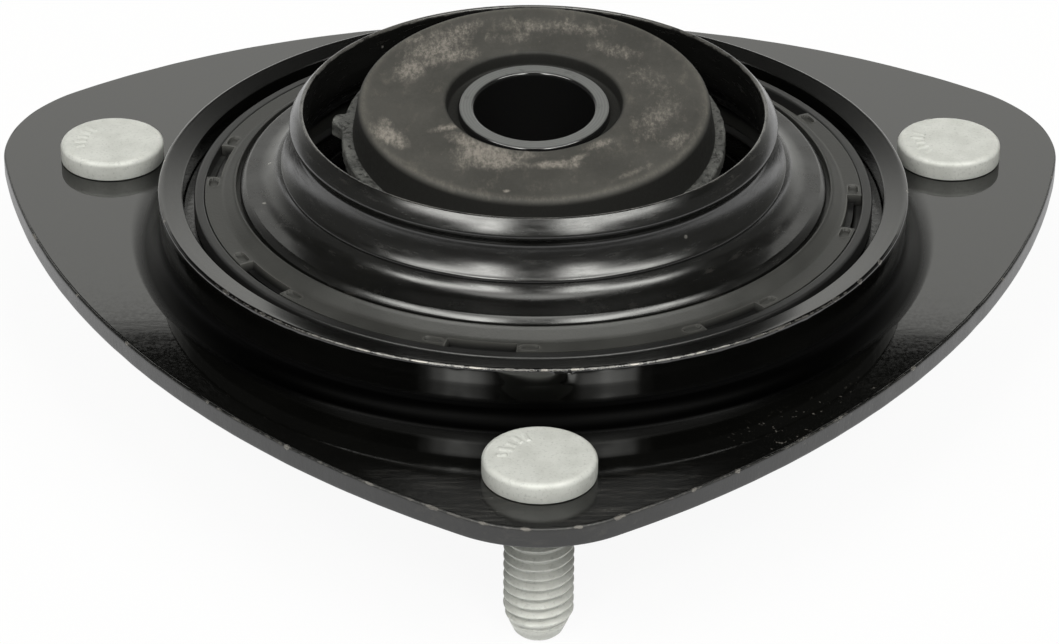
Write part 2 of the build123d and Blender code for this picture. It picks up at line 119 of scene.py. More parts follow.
def directions(columns):
    """The directions round the bearing axis of a turned piece's columns."""
    return 2 * math.pi * np.arange(columns) / columns


def rounded(corners, steps=5, guard=0.12, longest=99.0):
    """A closed section in mm from (radius, height, rounding) corners, with points beside its flats."""
    corners = [tuple(corner) + (0.0,) * (3 - len(corner)) for corner in corners]
    points = []
    for here, (x, z, rounding) in enumerate(corners):
        point = np.array((x, z), float)
        if not rounding:
            points.append(point)
            continue
        before = np.array(corners[here - 1][:2], float) - point
        after = np.array(corners[(here + 1) % len(corners)][:2], float) - point
        before /= np.hypot(*before)
        after /= np.hypot(*after)
        half = math.acos(float(np.clip(before @ after, -1, 1))) / 2
        middle = point + (before + after) / np.hypot(*(before + after)) * rounding / math.sin(half)
        start = point + before * rounding / math.tan(half) - middle
        end = point + after * rounding / math.tan(half) - middle
        first = math.atan2(start[1], start[0])
        turn = wrapped(math.atan2(end[1], end[0]) - first)
        for share in np.linspace(0, 1, steps + 1):
            angle = first + turn * share
            points.append(middle + rounding * np.array((math.cos(angle), math.sin(angle))))
    closed = []
    for here, point in enumerate(points):
        ahead = points[(here + 1) % len(points)] - point
        run = float(np.hypot(*ahead))
        closed.append(point)
        if run > 4 * guard:
            inner = np.linspace(guard, run - guard, max(2, math.ceil((run - 2 * guard) / longest) + 1))
            closed.extend(point + ahead / run * reach for reach in inner)
    return np.array(closed)


def turned(name, section, columns=720, lean=0.0, bend=32.0, **marks):
    """A closed turned piece in mm from one section, or from one for each column; marks are per point."""
    section = np.asarray(section, float)
    if section.ndim == 2:
        section = np.broadcast_to(section, (columns,) + section.shape)
    columns, count = section.shape[:2]
    around = directions(columns)[:, None]
    radius, height = section[..., 0], section[..., 1]
    x, y, z = radius * np.cos(around), radius * np.sin(around), height
    y, z = y * math.cos(lean) - z * math.sin(lean), y * math.sin(lean) + z * math.cos(lean)
    points = np.stack([x, y, z], 2).reshape(-1, 3) * 0.001
    here = np.arange(columns * count).reshape(columns, count)
    beside, above = np.roll(here, -1, 0), np.roll(here, -1, 1)
    faces = np.stack([here, beside, np.roll(beside, -1, 1), above], 2).reshape(-1, 4)
    mesh = bpy.data.meshes.new(name)
    mesh.from_pydata(points.tolist(), [], faces.tolist())
    for mark, values in marks.items():
        layer = mesh.attributes.new(mark, "FLOAT", "POINT")
        values = np.broadcast_to(np.asarray(values, float), (columns, count))
        layer.data.foreach_set("value", values.astype(np.float32).ravel())
    return set_faces(name, mesh, bend)


def placed(name, mesh):
    """A new object in the scene for a mesh."""
    piece = bpy.data.objects.new(name, mesh)
    bpy.context.scene.collection.objects.link(piece)
    return piece


def set_faces(name, mesh, bend=32.0):
    """Merges doubled points, turns faces outwards and leaves only real edges sharp."""
    work = bmesh.new()
    work.from_mesh(mesh)
    bmesh.ops.remove_doubles(work, verts=work.verts, dist=2e-7)
    flat = [face for face in work.faces if face.calc_area() < 1e-14]
    bmesh.ops.dissolve_degenerate(work, dist=1e-8, edges=[e for f in flat for e in f.edges])
    bmesh.ops.recalc_face_normals(work, faces=work.faces)
    work.to_mesh(mesh)
    work.free()
    mesh.polygons.foreach_set("use_smooth", np.ones(len(mesh.polygons), bool))
    mesh.set_sharp_from_angle(angle=math.radians(bend))
    mesh.update()
    return placed(name, mesh)


def ragged(columns, size, seed, finest=90):
    """Uneven running noise once round a turned piece, from -size to size or so."""
    dice = np.random.default_rng(seed)
    around = directions(columns)
    total = np.zeros(columns)
    for waves in range(3, finest):
        total += np.sin(waves * around + dice.uniform(0, 2 * math.pi)) * dice.normal() / waves**0.5
    return size * total / np.abs(total).max()


def ramp(value, start, length):
    """0 at start and 1 at length past it, held beyond both; a length below 0 goes the other way."""
    return np.clip((value - start) / length, 0, 1)


def near(distance, width, power=2):
    """1 at no distance, falling to 0 past that width, more squarely with a higher power."""
    return np.exp(-((distance / width) ** power))


def node(tree, kind, inputs=None, **settings):
    """Adds a node; inputs are set by name or place, and joined where they are outputs."""
    made = tree.nodes.new(kind)
    for setting, value in settings.items():
        setattr(made, setting, value)
    for place, value in (inputs or {}).items():
        socket = made.inputs[place]
        if isinstance(value, bpy.types.NodeSocket):
            tree.links.new(value, socket)
        elif socket.type == "RGBA":
            socket.default_value = (*value, 1.0)
        else:
            socket.default_value = value
    return made


def finish(name, **sockets):
    """A new finish: its shader with the even values set, and the object coordinates."""
    made = bpy.data.materials.new(name)
    made.use_nodes = True
    shader = made.node_tree.nodes["Principled BSDF"]
    for socket, value in sockets.items():
        shader.inputs[socket.replace("_", " ")].default_value = value
    return made, shader, node(made.node_tree, "ShaderNodeTexCoord").outputs["Object"]


def wire(shader, colour, roughness, normal):
    """Joins the worked colour, roughness and normal to a finish's shader."""
    for socket, value in (("Base Color", colour), ("Roughness", roughness), ("Normal", normal)):
        shader.id_data.links.new(value, shader.inputs[socket])


def grain(place, per_metre, detail=3.0, roughness=0.55, stretch=None):
    """Noise of about that many grains to the metre, from 0 to 1."""
    tree = place.id_data
    if stretch:
        place = node(tree, "ShaderNodeMapping", {"Vector": place, "Scale": stretch}).outputs[0]
    sockets = {"Vector": place, "Scale": per_metre, "Detail": detail, "Roughness": roughness}
    return node(tree, "ShaderNodeTexNoise", sockets).outputs["Fac"]


def eased(value, low, high, start=0.0, end=1.0):
    """Value carried smoothly from low..high to start..end."""
    sockets = {0: value, 1: low, 2: high, 3: start, 4: end}
    kind = "ShaderNodeMapRange"
    return node(value.id_data, kind, sockets, interpolation_type="SMOOTHSTEP", clamp=True).outputs[0]


def spots(place, per_metre, whole, gone):
    """Round spots scattered about that many to the metre, full to one size and gone at another."""
    sockets = {"Vector": place, "Scale": per_metre, "Randomness": 1.0}
    distance = node(place.id_data, "ShaderNodeTexVoronoi", sockets).outputs["Distance"]
    return eased(distance, whole, gone, 1.0, 0.0)


def worked(kind, first, second=0.0):
    """One math step on one value or between two, of which one at least is a node's."""
    tree = (first if isinstance(first, bpy.types.NodeSocket) else second).id_data
    return node(tree, "ShaderNodeMath", {0: first, 1: second}, operation=kind).outputs[0]


def times(first, second):
    """Two values multiplied."""
    return worked("MULTIPLY", first, second)


def plus(first, *others):
    """Two or more values added up."""
    for other in others:
        first = worked("ADD", first, other)
    return first


def greater(first, second):
    """The greater of two values."""
    return worked("MAXIMUM", first, second)


def marked(place, mark):
    """The value that a mesh carries under that name."""
    return node(place.id_data, "ShaderNodeAttribute", attribute_name=mark).outputs["Fac"]


def mixed(share, first, second):
    """Two colours mixed by share."""
    sockets = {0: share, 6: first, 7: second}
    return node(share.id_data, "ShaderNodeMix", sockets, data_type="RGBA").outputs[2]


def raised_by(height, distance, under=None):
    """A surface normal from a height, distance in metres for a height of 1."""
    sockets = {"Height": height, "Distance": distance, "Strength": 1.0}
    if under:
        sockets["Normal"] = under
    return node(height.id_data, "ShaderNodeBump", sockets).outputs[0]


def bow_reach(bow, around):
    """How far the plate reaches under one bowed side in each direction, none where it misses."""
    x, y, radius = bow
    along = x * np.cos(around) + y * np.sin(around)
    with np.errstate(invalid="ignore"):
        return along + np.sqrt(along**2 - x**2 - y**2 + radius**2)


def corner_between(first, second, radius, side):
    """The corner arc that touches two bowed sides from inside: its centre and the two angles."""
    (ax, ay, ar), (bx, by, br) = first, second
    reach, span = (ar - radius, br - radius), math.hypot(bx - ax, by - ay)
    along = (reach[0] ** 2 - reach[1] ** 2 + span**2) / (2 * span)
    off = math.sqrt(reach[0] ** 2 - along**2) * side
    ux, uy = (bx - ax) / span, (by - ay) / span
    x, y = ax + along * ux - off * uy, ay + along * uy + off * ux
    ends = []
    for (cx, cy, cr), run in ((first, reach[0]), (second, reach[1])):
        ends.append(math.atan2(cy + (y - cy) * cr / run, cx + (x - cx) * cr / run))
    return (x, y, radius), ends


plate_columns = 1200
around_plate = directions(plate_columns)
plate_reach = np.minimum.reduce(
    [bow_reach(bow, around_plate) for bow in (back_bow, right_bow, left_bow)]
)
for first_bow, second_bow, corner_radius, bow_side in (
    (left_bow, right_bow, front_corner_radius, -1),
    (back_bow, left_bow, side_corner_radius, -1),
    (back_bow, right_bow, side_corner_radius, 1),
):
    corner, (one_end, other_end) = corner_between(first_bow, second_bow, corner_radius, bow_side)
    swing = wrapped(other_end - one_end)
    inside = wrapped(around_plate - one_end)
    within = (inside * swing > 0) & (np.abs(inside) < abs(swing))
    plate_reach = np.where(within, bow_reach(corner, around_plate), plate_reach)

# the sheared edge runs a little unevenly, and a burr stands on the collar's rim at the front
burr_direction, burr_half, burr_height = math.radians(-86.6), 1.1, 0.045
plate_ragged = ragged(plate_columns, 0.05, 11)
collar_ragged = ragged(plate_columns, 0.035, 12, finest=160)
burr = near(wrapped(around_plate - burr_direction) * collar_outer, burr_half, 4)
burr = burr * (0.65 + 0.35 * ragged(plate_columns, 1.0, 13, 400))
edge_turns = np.linspace(0, math.pi / 2, 5)
edge_in = [plate_edge_round * (1 - math.cos(turn)) for turn in edge_turns]
edge_down = [plate_edge_round * (1 - math.sin(turn)) for turn in edge_turns]
under_start = math.pi + math.asin((collar_under_bend - collar_bend_top) / collar_under_bend)
plate_sections, plate_edge_far, collar_edge_far = [], [], []
for column in range(plate_columns):
    edge = plate_reach[column] + plate_ragged[column]
    rim = collar_ragged[column]
    flat_end, under_end = edge - plate_edge_round, edge - 1.0
    section = [(collar_foot, 0.0)]
    section += [(collar_foot + (under_end - collar_foot) * share, 0.0) for share in (0.25, 0.5, 0.75)]
    section += [(under_end, 0.0), (flat_end, 0.0)]
    section += [(edge - down, inward) for inward, down in zip(edge_in[1:], edge_down[1:])]
    section += [(edge, height) for height in plate_edge_rows]
    section += [(edge - inward, plate_thickness - down) for inward, down in zip(edge_in, edge_down)]
    section += [(flat_end - inward, plate_thickness) for inward in (0.14, 0.3, 0.5, 0.8, 1.2, 1.8, 2.8)]
    section += [(radius, plate_thickness) for radius in np.linspace(flat_end - 2.8, collar_foot, 9)[1:]]
    for turn in np.linspace(0, math.pi / 2, 7)[1:]:
        height = plate_thickness + collar_bend * (1 - math.cos(turn))
        section.append((collar_foot - collar_bend * math.sin(turn), height))
    section += [(collar_outer + rim * 0.4, height) for height in collar_rows]
    for row, (radius, height) in enumerate(collar_spread):
        section.append((radius + rim * 0.4 + burr[column] * burr_height * row, height))
    for turn in np.radians((0, 14, 28, 43, 58, 73, 88, 100)):
        height = rim_height + rim_round * math.sin(turn)
        section.append((rim_radius + rim_round * math.cos(turn) + rim, height))
    for radius in (44.2, 43.8, 43.3, 42.9, 42.5):
        height = collar_top - collar_slope * (collar_outer - radius) / collar_wall - 0.02
        section.append((radius, height))
    section += [(collar_inner + 0.12, collar_top - 0.5), (collar_inner, collar_top - 0.63)]
    section += [(collar_inner, height) for height in (8.4, 7.0, 5.6, 5.0)]
    for share in np.linspace(0, 1, 7)[1:-1]:
        turn = under_start + (1.5 * math.pi - under_start) * share
        height = collar_under_bend + collar_under_bend * math.sin(turn)
        section.append((collar_foot + collar_under_bend * math.cos(turn), height))
    section = np.array(section)
    plate_sections.append(section)
    plate_edge_far.append(np.hypot(*(section - np.array((edge - 0.1, plate_thickness - 0.1))).T))
    collar_edge_far.append(np.hypot(*(section - np.array(rim_crest)).T))
plate_sections = np.array(plate_sections)
plate_edge_far, collar_edge_far = np.array(plate_edge_far), np.array(collar_edge_far)


def chipped(chips, far, reach):
    """How deep each point lies in its nearest chip, 0 outside and 1 at the chip's middle."""
    depth = np.zeros(far.shape)
    for direction, length, width in chips:
        swing = wrapped(around_plate - math.radians(direction))
        along = (np.abs(swing) * reach / (length / 2))[:, None]
        depth = np.maximum(depth, 1 - np.hypot(along, far / width))
    return np.clip(depth, 0, 1)


plate_chip_depth = np.maximum(
    chipped(plate_chips, plate_edge_far, plate_reach),
    chipped(collar_chips, collar_edge_far, collar_outer),
)
# painted shade: the bend at the collar's foot is painted dead black, metallic and rough, so that it
# reflects nothing and reads as a shaded groove
plate_radius, plate_height = np.moveaxis(plate_sections, 2, 0)
in_bend = ramp(np.hypot(plate_radius - collar_foot, plate_height - collar_bend_top), 2.62, -0.1)
in_bend *= ramp(plate_radius, 47.9, -0.9)
in_bend *= ramp(plate_height, 5.25, -0.3) * (plate_radius > 44.8)
on_band = ramp(plate_radius, 44.5, -0.3) * ramp(plate_height, 8.6, 0.3)
on_wall = ramp(plate_height, 5.0, 0.8) * (1 - on_band)
on_edge = ramp(plate_radius - plate_reach[:, None], -0.28, 0.12)
# painted sheen: pale streaks over rougher paint are painted round the front stud, and specks lie on the
# plate to the right of it
brushed = near(wrapped(around_plate + math.pi / 2), 0.30, 4)[:, None] * ramp(plate_radius, 54.0, 4.0)
speckled = near(wrapped(around_plate + 0.93), 0.20, 4)[:, None] * ramp(plate_radius, 50.0, 2.0)
front_share = np.clip(np.cos(around_plate + math.pi / 2) * 1.5 - 0.2, 0, 1)[:, None]
edge_near = np.maximum(
    near(plate_edge_far, 0.35) * (0.55 + 0.45 * front_share),
    near(collar_edge_far, 0.28) * (0.3 + 0.9 * front_share),
)
mounting_plate = turned(
    "mounting_plate_pressed",
    plate_sections,
    chip=plate_chip_depth,
    edge=edge_near,
    bend_paint=in_bend,
    dull=on_band * 0.18 + on_wall * 0.06 + brushed * 0.14 + on_edge * 0.3,
    sheared=on_edge,
    brushed=brushed,
    speckled=speckled,
)


def black_coat(name, colour, roughness, peel, wear):
    """Dipped black paint with orange peel; with wear, chipped and specked where marked, with painted sheen
    streaks on rougher paint and painted shade in the collar's bend where marked.
    """
    made, shader, place = finish(name, IOR=1.78, Metallic=0.0)
    wide = grain(place, 90, 2.0)
    fine = grain(place, 2600, 2.0, 0.5)
    blemish = times(spots(place, 420, 0.02, 0.07), eased(grain(place, 55, 3.0), 0.62, 0.70))
    coat = mixed(eased(wide, 0.35, 0.7), colour, tuple(share * 1.5 for share in colour))
    coat = mixed(times(blemish, 0.3), coat, (0.05, 0.045, 0.04))
    dull = eased(fine, 0.3, 0.7, roughness * 0.7, roughness * 1.3)
    streaky = grain(place, 420, 3.0, 0.6, (0.3, 1.0, 1.0))
    normal = raised_by(plus(fine, times(blemish, 0.6), times(streaky, 5.0)), peel)
    if wear:
        deep = worked("SUBTRACT", marked(place, "chip"), grain(place, 1900, 4.0, 0.7))
        nicked = eased(times(marked(place, "edge"), grain(place, 950, 4.0, 0.75)), 0.44, 0.64)
        bare = greater(eased(deep, 0.02, 0.08), times(nicked, 0.42))
        coat = mixed(bare, coat, bare_steel)
        normal = raised_by(bare, -4e-5, normal)
        # painted sheen: pale streaks round the front stud stand in for streaky reflections
        brush = eased(grain(place, 900, 5.0, 0.75, (0.22, 1.7, 1.0)), 0.48, 0.70)
        brush = times(brush, marked(place, "brushed"))
        coat = mixed(times(brush, 0.42), coat, (0.055, 0.052, 0.047))
        dots = times(eased(grain(place, 1500, 3.0, 0.6), 0.64, 0.69), marked(place, "speckled"))
        coat = mixed(times(dots, 0.6), coat, (0.16, 0.15, 0.135))
        # painted shade: dead black, metallic and rough in the collar's bend, so that it shows no reflection
        pooled = marked(place, "bend_paint")
        coat = mixed(pooled, coat, (0.002, 0.002, 0.002))
        dull = plus(dull, times(bare, 0.22), times(brush, 0.1), times(pooled, 0.35), marked(place, "dull"))
        shear = times(marked(place, "sheared"), grain(place, 700, 5.0, 0.75, (1.0, 1.0, 0.35)))
        normal = raised_by(shear, 6e-5, normal)
        shader.id_data.links.new(greater(bare, pooled), shader.inputs["Metallic"])
    wire(shader, coat, dull, normal)
    return made


black_paint = black_coat("black_paint_chipped", coating_black, 0.04, 2.2e-7, True)
mounting_plate.data.materials.append(black_paint)
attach(mounting_plate, "mount")
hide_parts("mounting_plate")

# Studs: three M8 x 1.25 cold-headed studs pressed into the plate, coated with dull zinc flake.
# Short raised dashes stand on each flat head, where the real ones carry a grade mark.
stud_pitch_radius = 55.5
# each: direction from the bearing axis and turn of the head's dashes, in degrees
stud_places = {"Front": (270.0, 150.0), "Right": (20.0, 195.0), "Left": (160.0, 172.0)}
stud_head_radius, stud_head_top, stud_head_round, stud_shoulder = 6.4, 5.0, 0.7, 4.4
dish_depth, dish_reach = 0.04, 3.2
thread_outer, thread_root, thread_pitch = 3.95, 3.3, 1.25
thread_land, thread_flank, thread_run_in = 0.07, 0.31, 0.9
stud_end, stud_point_start, stud_point_radius = -18.0, -14.9, 2.6
dash_height, dash_half_width, dash_slope = 0.13, 0.16, 0.2
# dashes: direction on the head in degrees, radius from and to in mm
dash_marks = ((-38, 3.35, 4.55), (-22, 3.35, 4.55), (-4, 3.35, 4.15), (14, 3.35, 4.55), (31, 3.7, 4.55))
zinc_grey = (0.57, 0.578, 0.55)

head_rings = np.concatenate([[0.0, 0.8, 1.6, 2.2], np.arange(2.6, 5.25, 0.15), [5.45, 5.6]])
stud_head = []
for turn in np.linspace(0, math.pi / 2, 8):
    radius = stud_head_radius - stud_head_round * (1 - math.sin(turn))
    stud_head.append((radius, stud_head_top - stud_head_round * (1 - math.cos(turn))))
stud_head += [(stud_head_radius, 3.6), (stud_head_radius, 2.95), (6.36, 2.62), (6.2, plate_thickness)]
stud_head += [(5.4, plate_thickness), (stud_shoulder, plate_thickness), (stud_shoulder, 0.3)]
stud_tip = [(2.45, stud_end + 0.1), (2.2, stud_end), (1.2, stud_end), (0.0, stud_end)]
thread_rows = np.arange(-0.05, stud_end + 0.35, -thread_pitch / 11)
stud_sections, stud_grooves = [], []
for direction in directions(192):
    section = []
    for ring in head_rings:
        lift = 0.0
        for dash, start, end in dash_marks:
            off = (math.degrees(direction) - dash + 180) % 360 - 180
            across = abs(math.radians(off)) * ring
            if start - dash_slope < ring < end + dash_slope:
                lift = max(lift, 1 - max(0.0, across - dash_half_width) / dash_slope)
        dished = dish_depth * near(ring, dish_reach, 4)
        section.append((ring, stud_head_top + dash_height * max(0.0, lift) - dished))
    section += stud_head
    groove = [0.0] * len(section)
    for row in thread_rows:
        turn = (row / thread_pitch - direction / (2 * math.pi)) % 1.0
        flank = np.clip((abs(turn - 0.5) - thread_land) / thread_flank, 0, 1)
        taper = min(1.0, max(0.0, (row - stud_end) / (stud_point_start - stud_end)))
        radius = thread_outer - (thread_outer - thread_root) * flank
        radius = min(radius, stud_point_radius + (thread_outer - stud_point_radius) * taper)
        if row > -thread_run_in:
            radius += (thread_outer - radius) * (row + thread_run_in) / thread_run_in * 0.9
        section.append((radius, row))
        groove.append(flank * min(1.0, max(0.0, -row)))
    stud_sections.append(section + stud_tip)
    stud_grooves.append(groove + [0.0] * len(stud_tip))
one_stud = turned("one_stud", stud_sections, bend=28.0, groove=stud_grooves)

zinc_flake, shader, place = finish("zinc_flake_dull", Metallic=0.08, IOR=1.5)
flakes = grain(place, 2600, 4.0, 0.7)
cloudy = grain(place, 380, 3.0)
scrape = grain(place, 420, 4.0, 0.75, (1.0, 3.5, 1.0))
zinc = mixed(eased(cloudy, 0.3, 0.7), (0.655, 0.663, 0.635), zinc_grey)
zinc = mixed(eased(scrape, 0.64, 0.72, 0.0, 0.35), zinc, (0.28, 0.28, 0.27))
zinc = mixed(eased(flakes, 0.52, 0.70, 0.0, 0.45), zinc, (0.33, 0.337, 0.322))
# painted shade: the thread's grooves are painted darker than its crests
zinc = mixed(times(marked(place, "groove"), 0.24), zinc, (0.19, 0.195, 0.185))
zinc_skin = raised_by(plus(flakes, times(scrape, 0.6)), 1.6e-5)
wire(shader, zinc, eased(flakes, 0.3, 0.7, 0.38, 0.52), zinc_skin)


def new_tree(name, *sizes):
    """A geometry tree with named inputs: (name, kind, value)."""
    made = bpy.data.node_groups.new(name, "GeometryNodeTree")
    made.interface.new_socket("Geometry", in_out="INPUT", socket_type="NodeSocketGeometry")
    for label, kind, value in sizes:
        socket = made.interface.new_socket(label, in_out="INPUT", socket_type="NodeSocket" + kind)
        if value is not None:
            socket.default_value = value
    made.interface.new_socket("Geometry", in_out="OUTPUT", socket_type="NodeSocketGeometry")
    return made, made.nodes.new("NodeGroupInput"), made.nodes.new("NodeGroupOutput")


def painted_with(tree, geometry, given, made):
    """Ends a geometry tree: its copies made real and given their finish."""
    plain = node(tree, "GeometryNodeRealizeInstances", {0: geometry})
    sockets = {"Geometry": plain.outputs[0], "Material": given.outputs["Finish"]}
    painted = node(tree, "GeometryNodeSetMaterial", sockets)
    tree.links.new(painted.outputs[0], made.inputs[0])


def made_by_tree(name, tree, **values):
    """Runs a geometry tree and keeps the result as a plain mesh with no modifier."""
    carrier = placed(name + "_carrier", bpy.data.meshes.new(name + "_start"))
    modifier = carrier.modifiers.new("tree", "NODES")
    modifier.node_group = tree
    for item in tree.interface.items_tree:
        if item.in_out == "INPUT" and item.name in values:
            modifier[item.identifier] = values[item.name]
    ready = carrier.evaluated_get(bpy.context.evaluated_depsgraph_get())
    mesh = bpy.data.meshes.new_from_object(ready)
    carrier.modifiers.clear()
    bpy.data.objects.remove(carrier)
    mesh.name = name
    return placed(name, mesh)


stud_inputs = [("Stud", "Object", None), ("Finish", "Material", None)]
stud_inputs.append(("Pitch radius", "Float", stud_pitch_radius * 0.001))
for stud, (direction, head_turn) in stud_places.items():
    stud_inputs.append((stud + " stud", "Float", math.radians(direction)))
    stud_inputs.append((stud + " mark", "Float", math.radians(head_turn)))
stud_tree, given, made = new_tree("studs on the pitch circle", *stud_inputs)
info = node(stud_tree, "GeometryNodeObjectInfo", {"Object": given.outputs["Stud"]})
info.transform_space = "ORIGINAL"
joined = stud_tree.nodes.new("GeometryNodeJoinGeometry")
for stud in stud_places:
    reach, toward = given.outputs["Pitch radius"], given.outputs[stud + " stud"]
    across, along = times(reach, worked("COSINE", toward)), times(reach, worked("SINE", toward))
    spot = node(stud_tree, "ShaderNodeCombineXYZ", {0: across, 1: along}).outputs[0]
    spin = node(stud_tree, "ShaderNodeCombineXYZ", {2: given.outputs[stud + " mark"]}).outputs[0]
    sockets = {"Geometry": info.outputs["Geometry"], "Translation": spot, "Rotation": spin}
    moved = node(stud_tree, "GeometryNodeTransform", sockets)
    stud_tree.links.new(moved.outputs[0], joined.inputs[0])
painted_with(stud_tree, joined.outputs[0], given, made)
studs = made_by_tree("studs", stud_tree, Stud=one_stud, Finish=zinc_flake)
bpy.data.objects.remove(one_stud)
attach(studs, "mount")
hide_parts("stud_front", "stud_right", "stud_left")

# Bearing pan: a pressed steel channel welded into the collar from the body side, painted with
# the plate. Its inner wall forms the locating spigot.
pan_outer, pan_inner, pan_bottom, pan_floor = 42.1, 29.3, -3.0, -1.2
pan_outer_wall, pan_inner_wall = 40.3, 30.9
pan_outer_top, pan_inner_top = 6.4, 6.0
pan_section = [
    (pan_inner, pan_inner_top),
    (pan_inner, pan_bottom, 0.5),
    (pan_outer, pan_bottom, 2.8),
    (pan_outer, pan_outer_top, 0.2),
    (pan_outer_wall, pan_outer_top, 0.2),
    (pan_outer_wall, pan_floor, 1.0),
    (pan_inner_wall, pan_floor, 0.6),
    (pan_inner_wall, pan_inner_top),
]
bearing_pan = turned("bearing_pan_pressed", rounded(pan_section, 6, longest=2.5), 600)
plain_black_paint = black_coat("black_paint_whole", coating_black, 0.22, 6e-7, False)
bearing_pan.data.materials.append(plain_black_paint)
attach(bearing_pan, "mount")
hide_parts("bearing_pan")

# Weld seams: six short arc welds that fix the pan in the collar, seen only from the body side.
# Each is a row of ripples that follow the joint, painted over with the rest.
seam_count, seam_sweep, seam_ripples = 6, 28.0, 17
seam_radius, seam_width, seam_height, seam_rise = 42.1, 2.2, 1.1, 0.6
seam_crown, ripple_height, seam_end_rise = 0.45, 0.10, 0.9
seam_roots = [(42.0, 4.4), (44.0, 2.6)]
seam_columns, seam_across = 120, 9
seam_points, seam_faces = [], []
for column in range(seam_columns + 1):
    share = column / seam_columns
    swing = math.radians(seam_sweep * share)
    taper = min(1.0, 6 * share, 6 * (1 - share)) ** 0.6
    ripple = ripple_height * abs(math.sin(share * math.pi * seam_ripples)) * taper
    section = []
    for row in range(seam_across):
        over = row / (seam_across - 1)
        crown = math.sin(over * math.pi) * (seam_crown * taper + ripple)
        height = seam_height + seam_rise * over - crown * 1.1 + (1 - taper) * seam_end_rise
        section.append((seam_radius + seam_width * over, height))
    for radius, height in section + seam_roots:
        point = (radius * math.cos(swing), radius * math.sin(swing), height)
        seam_points.append([measure * 0.001 for measure in point])
ring_count = seam_across + 2
order = list(range(seam_across)) + [seam_across + 1, seam_across]
for column in range(seam_columns):
    for row in range(ring_count):
        a, b = order[row], order[(row + 1) % ring_count]
        first, second = column * ring_count, (column + 1) * ring_count
        seam_faces.append((first + a, first + b, second + b, second + a))
seam_faces.append(order)
seam_faces.append([seam_columns * ring_count + point for point in order])
seam_mesh = bpy.data.meshes.new("one_seam")
seam_mesh.from_pydata(seam_points, [], seam_faces)
one_seam = set_faces("one_seam", seam_mesh, 50.0)
seam_tree, given, made = new_tree(
    "seams round the collar",
    ("Seam", "Object", None),
    ("Finish", "Material", None),
    ("Seams", "Int", seam_count),
)
info = node(seam_tree, "GeometryNodeObjectInfo", {"Object": given.outputs["Seam"]})
row_of_points = node(seam_tree, "GeometryNodePoints", {"Count": given.outputs["Seams"]})
which = node(seam_tree, "GeometryNodeInputIndex").outputs[0]
turn_to = times(which, worked("DIVIDE", 2 * math.pi, given.outputs["Seams"]))
spin = node(seam_tree, "ShaderNodeCombineXYZ", {2: turn_to}).outputs[0]
sockets = {"Points": row_of_points.outputs[0], "Instance": info.outputs["Geometry"], "Rotation": spin}
laid = node(seam_tree, "GeometryNodeInstanceOnPoints", sockets)
painted_with(seam_tree, laid.outputs[0], given, made)
weld_paint = black_coat("black_paint_on_weld", (0.007, 0.0067, 0.0062), 0.22, 4e-6, False)
weld_seams = made_by_tree("weld_seams_rippled", seam_tree, Seam=one_seam, Finish=weld_paint)
bpy.data.objects.remove(one_seam)
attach(weld_seams, "mount")
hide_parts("weld_seams")

# Bush cup: a deep-drawn steel cup pressed into the spigot, open at the bottom where the
# rubber comes through. It carries the same black paint.
cup_outer, cup_inner, cup_mouth, cup_top, cup_bottom, cup_floor = 29.3, 27.3, 14.0, 6.0, -11.0, -9.0
cup_section = [
    (cup_inner, cup_top, 0.3),
    (cup_outer, cup_top),
    (cup_outer, cup_bottom, 5.0),
    (cup_mouth, cup_bottom, 0.4),
    (cup_mouth, cup_floor, 0.4),
    (cup_inner, cup_floor, 3.0),
]
bush_cup = turned("bush_cup_drawn", rounded(cup_section, 8, longest=2.0), 480)
bush_cup.data.materials.append(plain_black_paint)
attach(bush_cup, "mount")
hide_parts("bush_cup")

# Bearing cap: moulded black plastic, pressed into the pan. Only its brim shows, as a thin
# dark ring between the collar and the turning flange.
cap_section = [
    (31.0, -1.2),
    (40.2, -1.2, 0.3),
    (40.2, 6.5),
    (40.75, 6.5, 0.15),
    (40.75, 8.6, 0.3),
    (39.5, 8.6, 0.2),
    (39.5, 6.6),
    (38.6, 6.6),
    (38.6, 0.2),
    (32.0, 0.2),
    (32.0, 4.6),
    (31.0, 4.6),
]
bearing_cap = turned("bearing_cap_moulded", rounded(cap_section, 4), 720)


def moulded_plastic(name, colour, roughness, distance, slotted=False):
    """Black plastic with the matt grain of its tool; where marked, painted shade in slots and painted
    highlights on ridges.
    """
    made, shader, place = finish(name, IOR=1.53)
    fine = grain(place, 3200, 3.0, 0.6)
    wide = grain(place, 160, 3.0)
    dusty = grain(place, 700, 4.0, 0.7)
    shade = mixed(eased(wide, 0.3, 0.7), colour, tuple(share * 1.35 for share in colour))
    shade = mixed(eased(dusty, 0.62, 0.78, 0.0, 0.25), shade, (0.075, 0.073, 0.068))
    if slotted:
        # painted highlight: a pale line is painted on the low ridge round the windows and notches
        shade = mixed(times(marked(place, "ridge"), 0.42), shade, (0.15, 0.147, 0.138))
        # painted shade: the sunken flange and outer face inside each snap window are painted near black
        shade = mixed(marked(place, "slot"), shade, (0.003, 0.003, 0.003))
    dull = eased(wide, 0.3, 0.7, roughness - 0.03, roughness + 0.05)
    wire(shader, shade, dull, raised_by(fine, distance))
    return made


cap_plastic = moulded_plastic("cap_plastic", (0.014, 0.014, 0.014), 0.34, 1.2e-5)
bearing_cap.data.materials.append(cap_plastic)
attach(bearing_cap, "mount")
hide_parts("bearing_cap")

# Bearing: ground steel races and balls, a pale plastic cage and black rubber lip seals. They
# keep the CAD's shapes, and show only through the snap windows.


def cloudy_finish(name, clouds, colours, roughness, skin, distance, **sockets):
    """A finish of two close colours in clouds, with roughness to match and a fine skin."""
    made, shader, place = finish(name, **sockets)
    cloudy = grain(place, *clouds)
    dull = eased(cloudy, 0.3, 0.7, *roughness)
    wire(shader, mixed(cloudy, *colours), dull, raised_by(grain(place, *skin), distance))
    return made


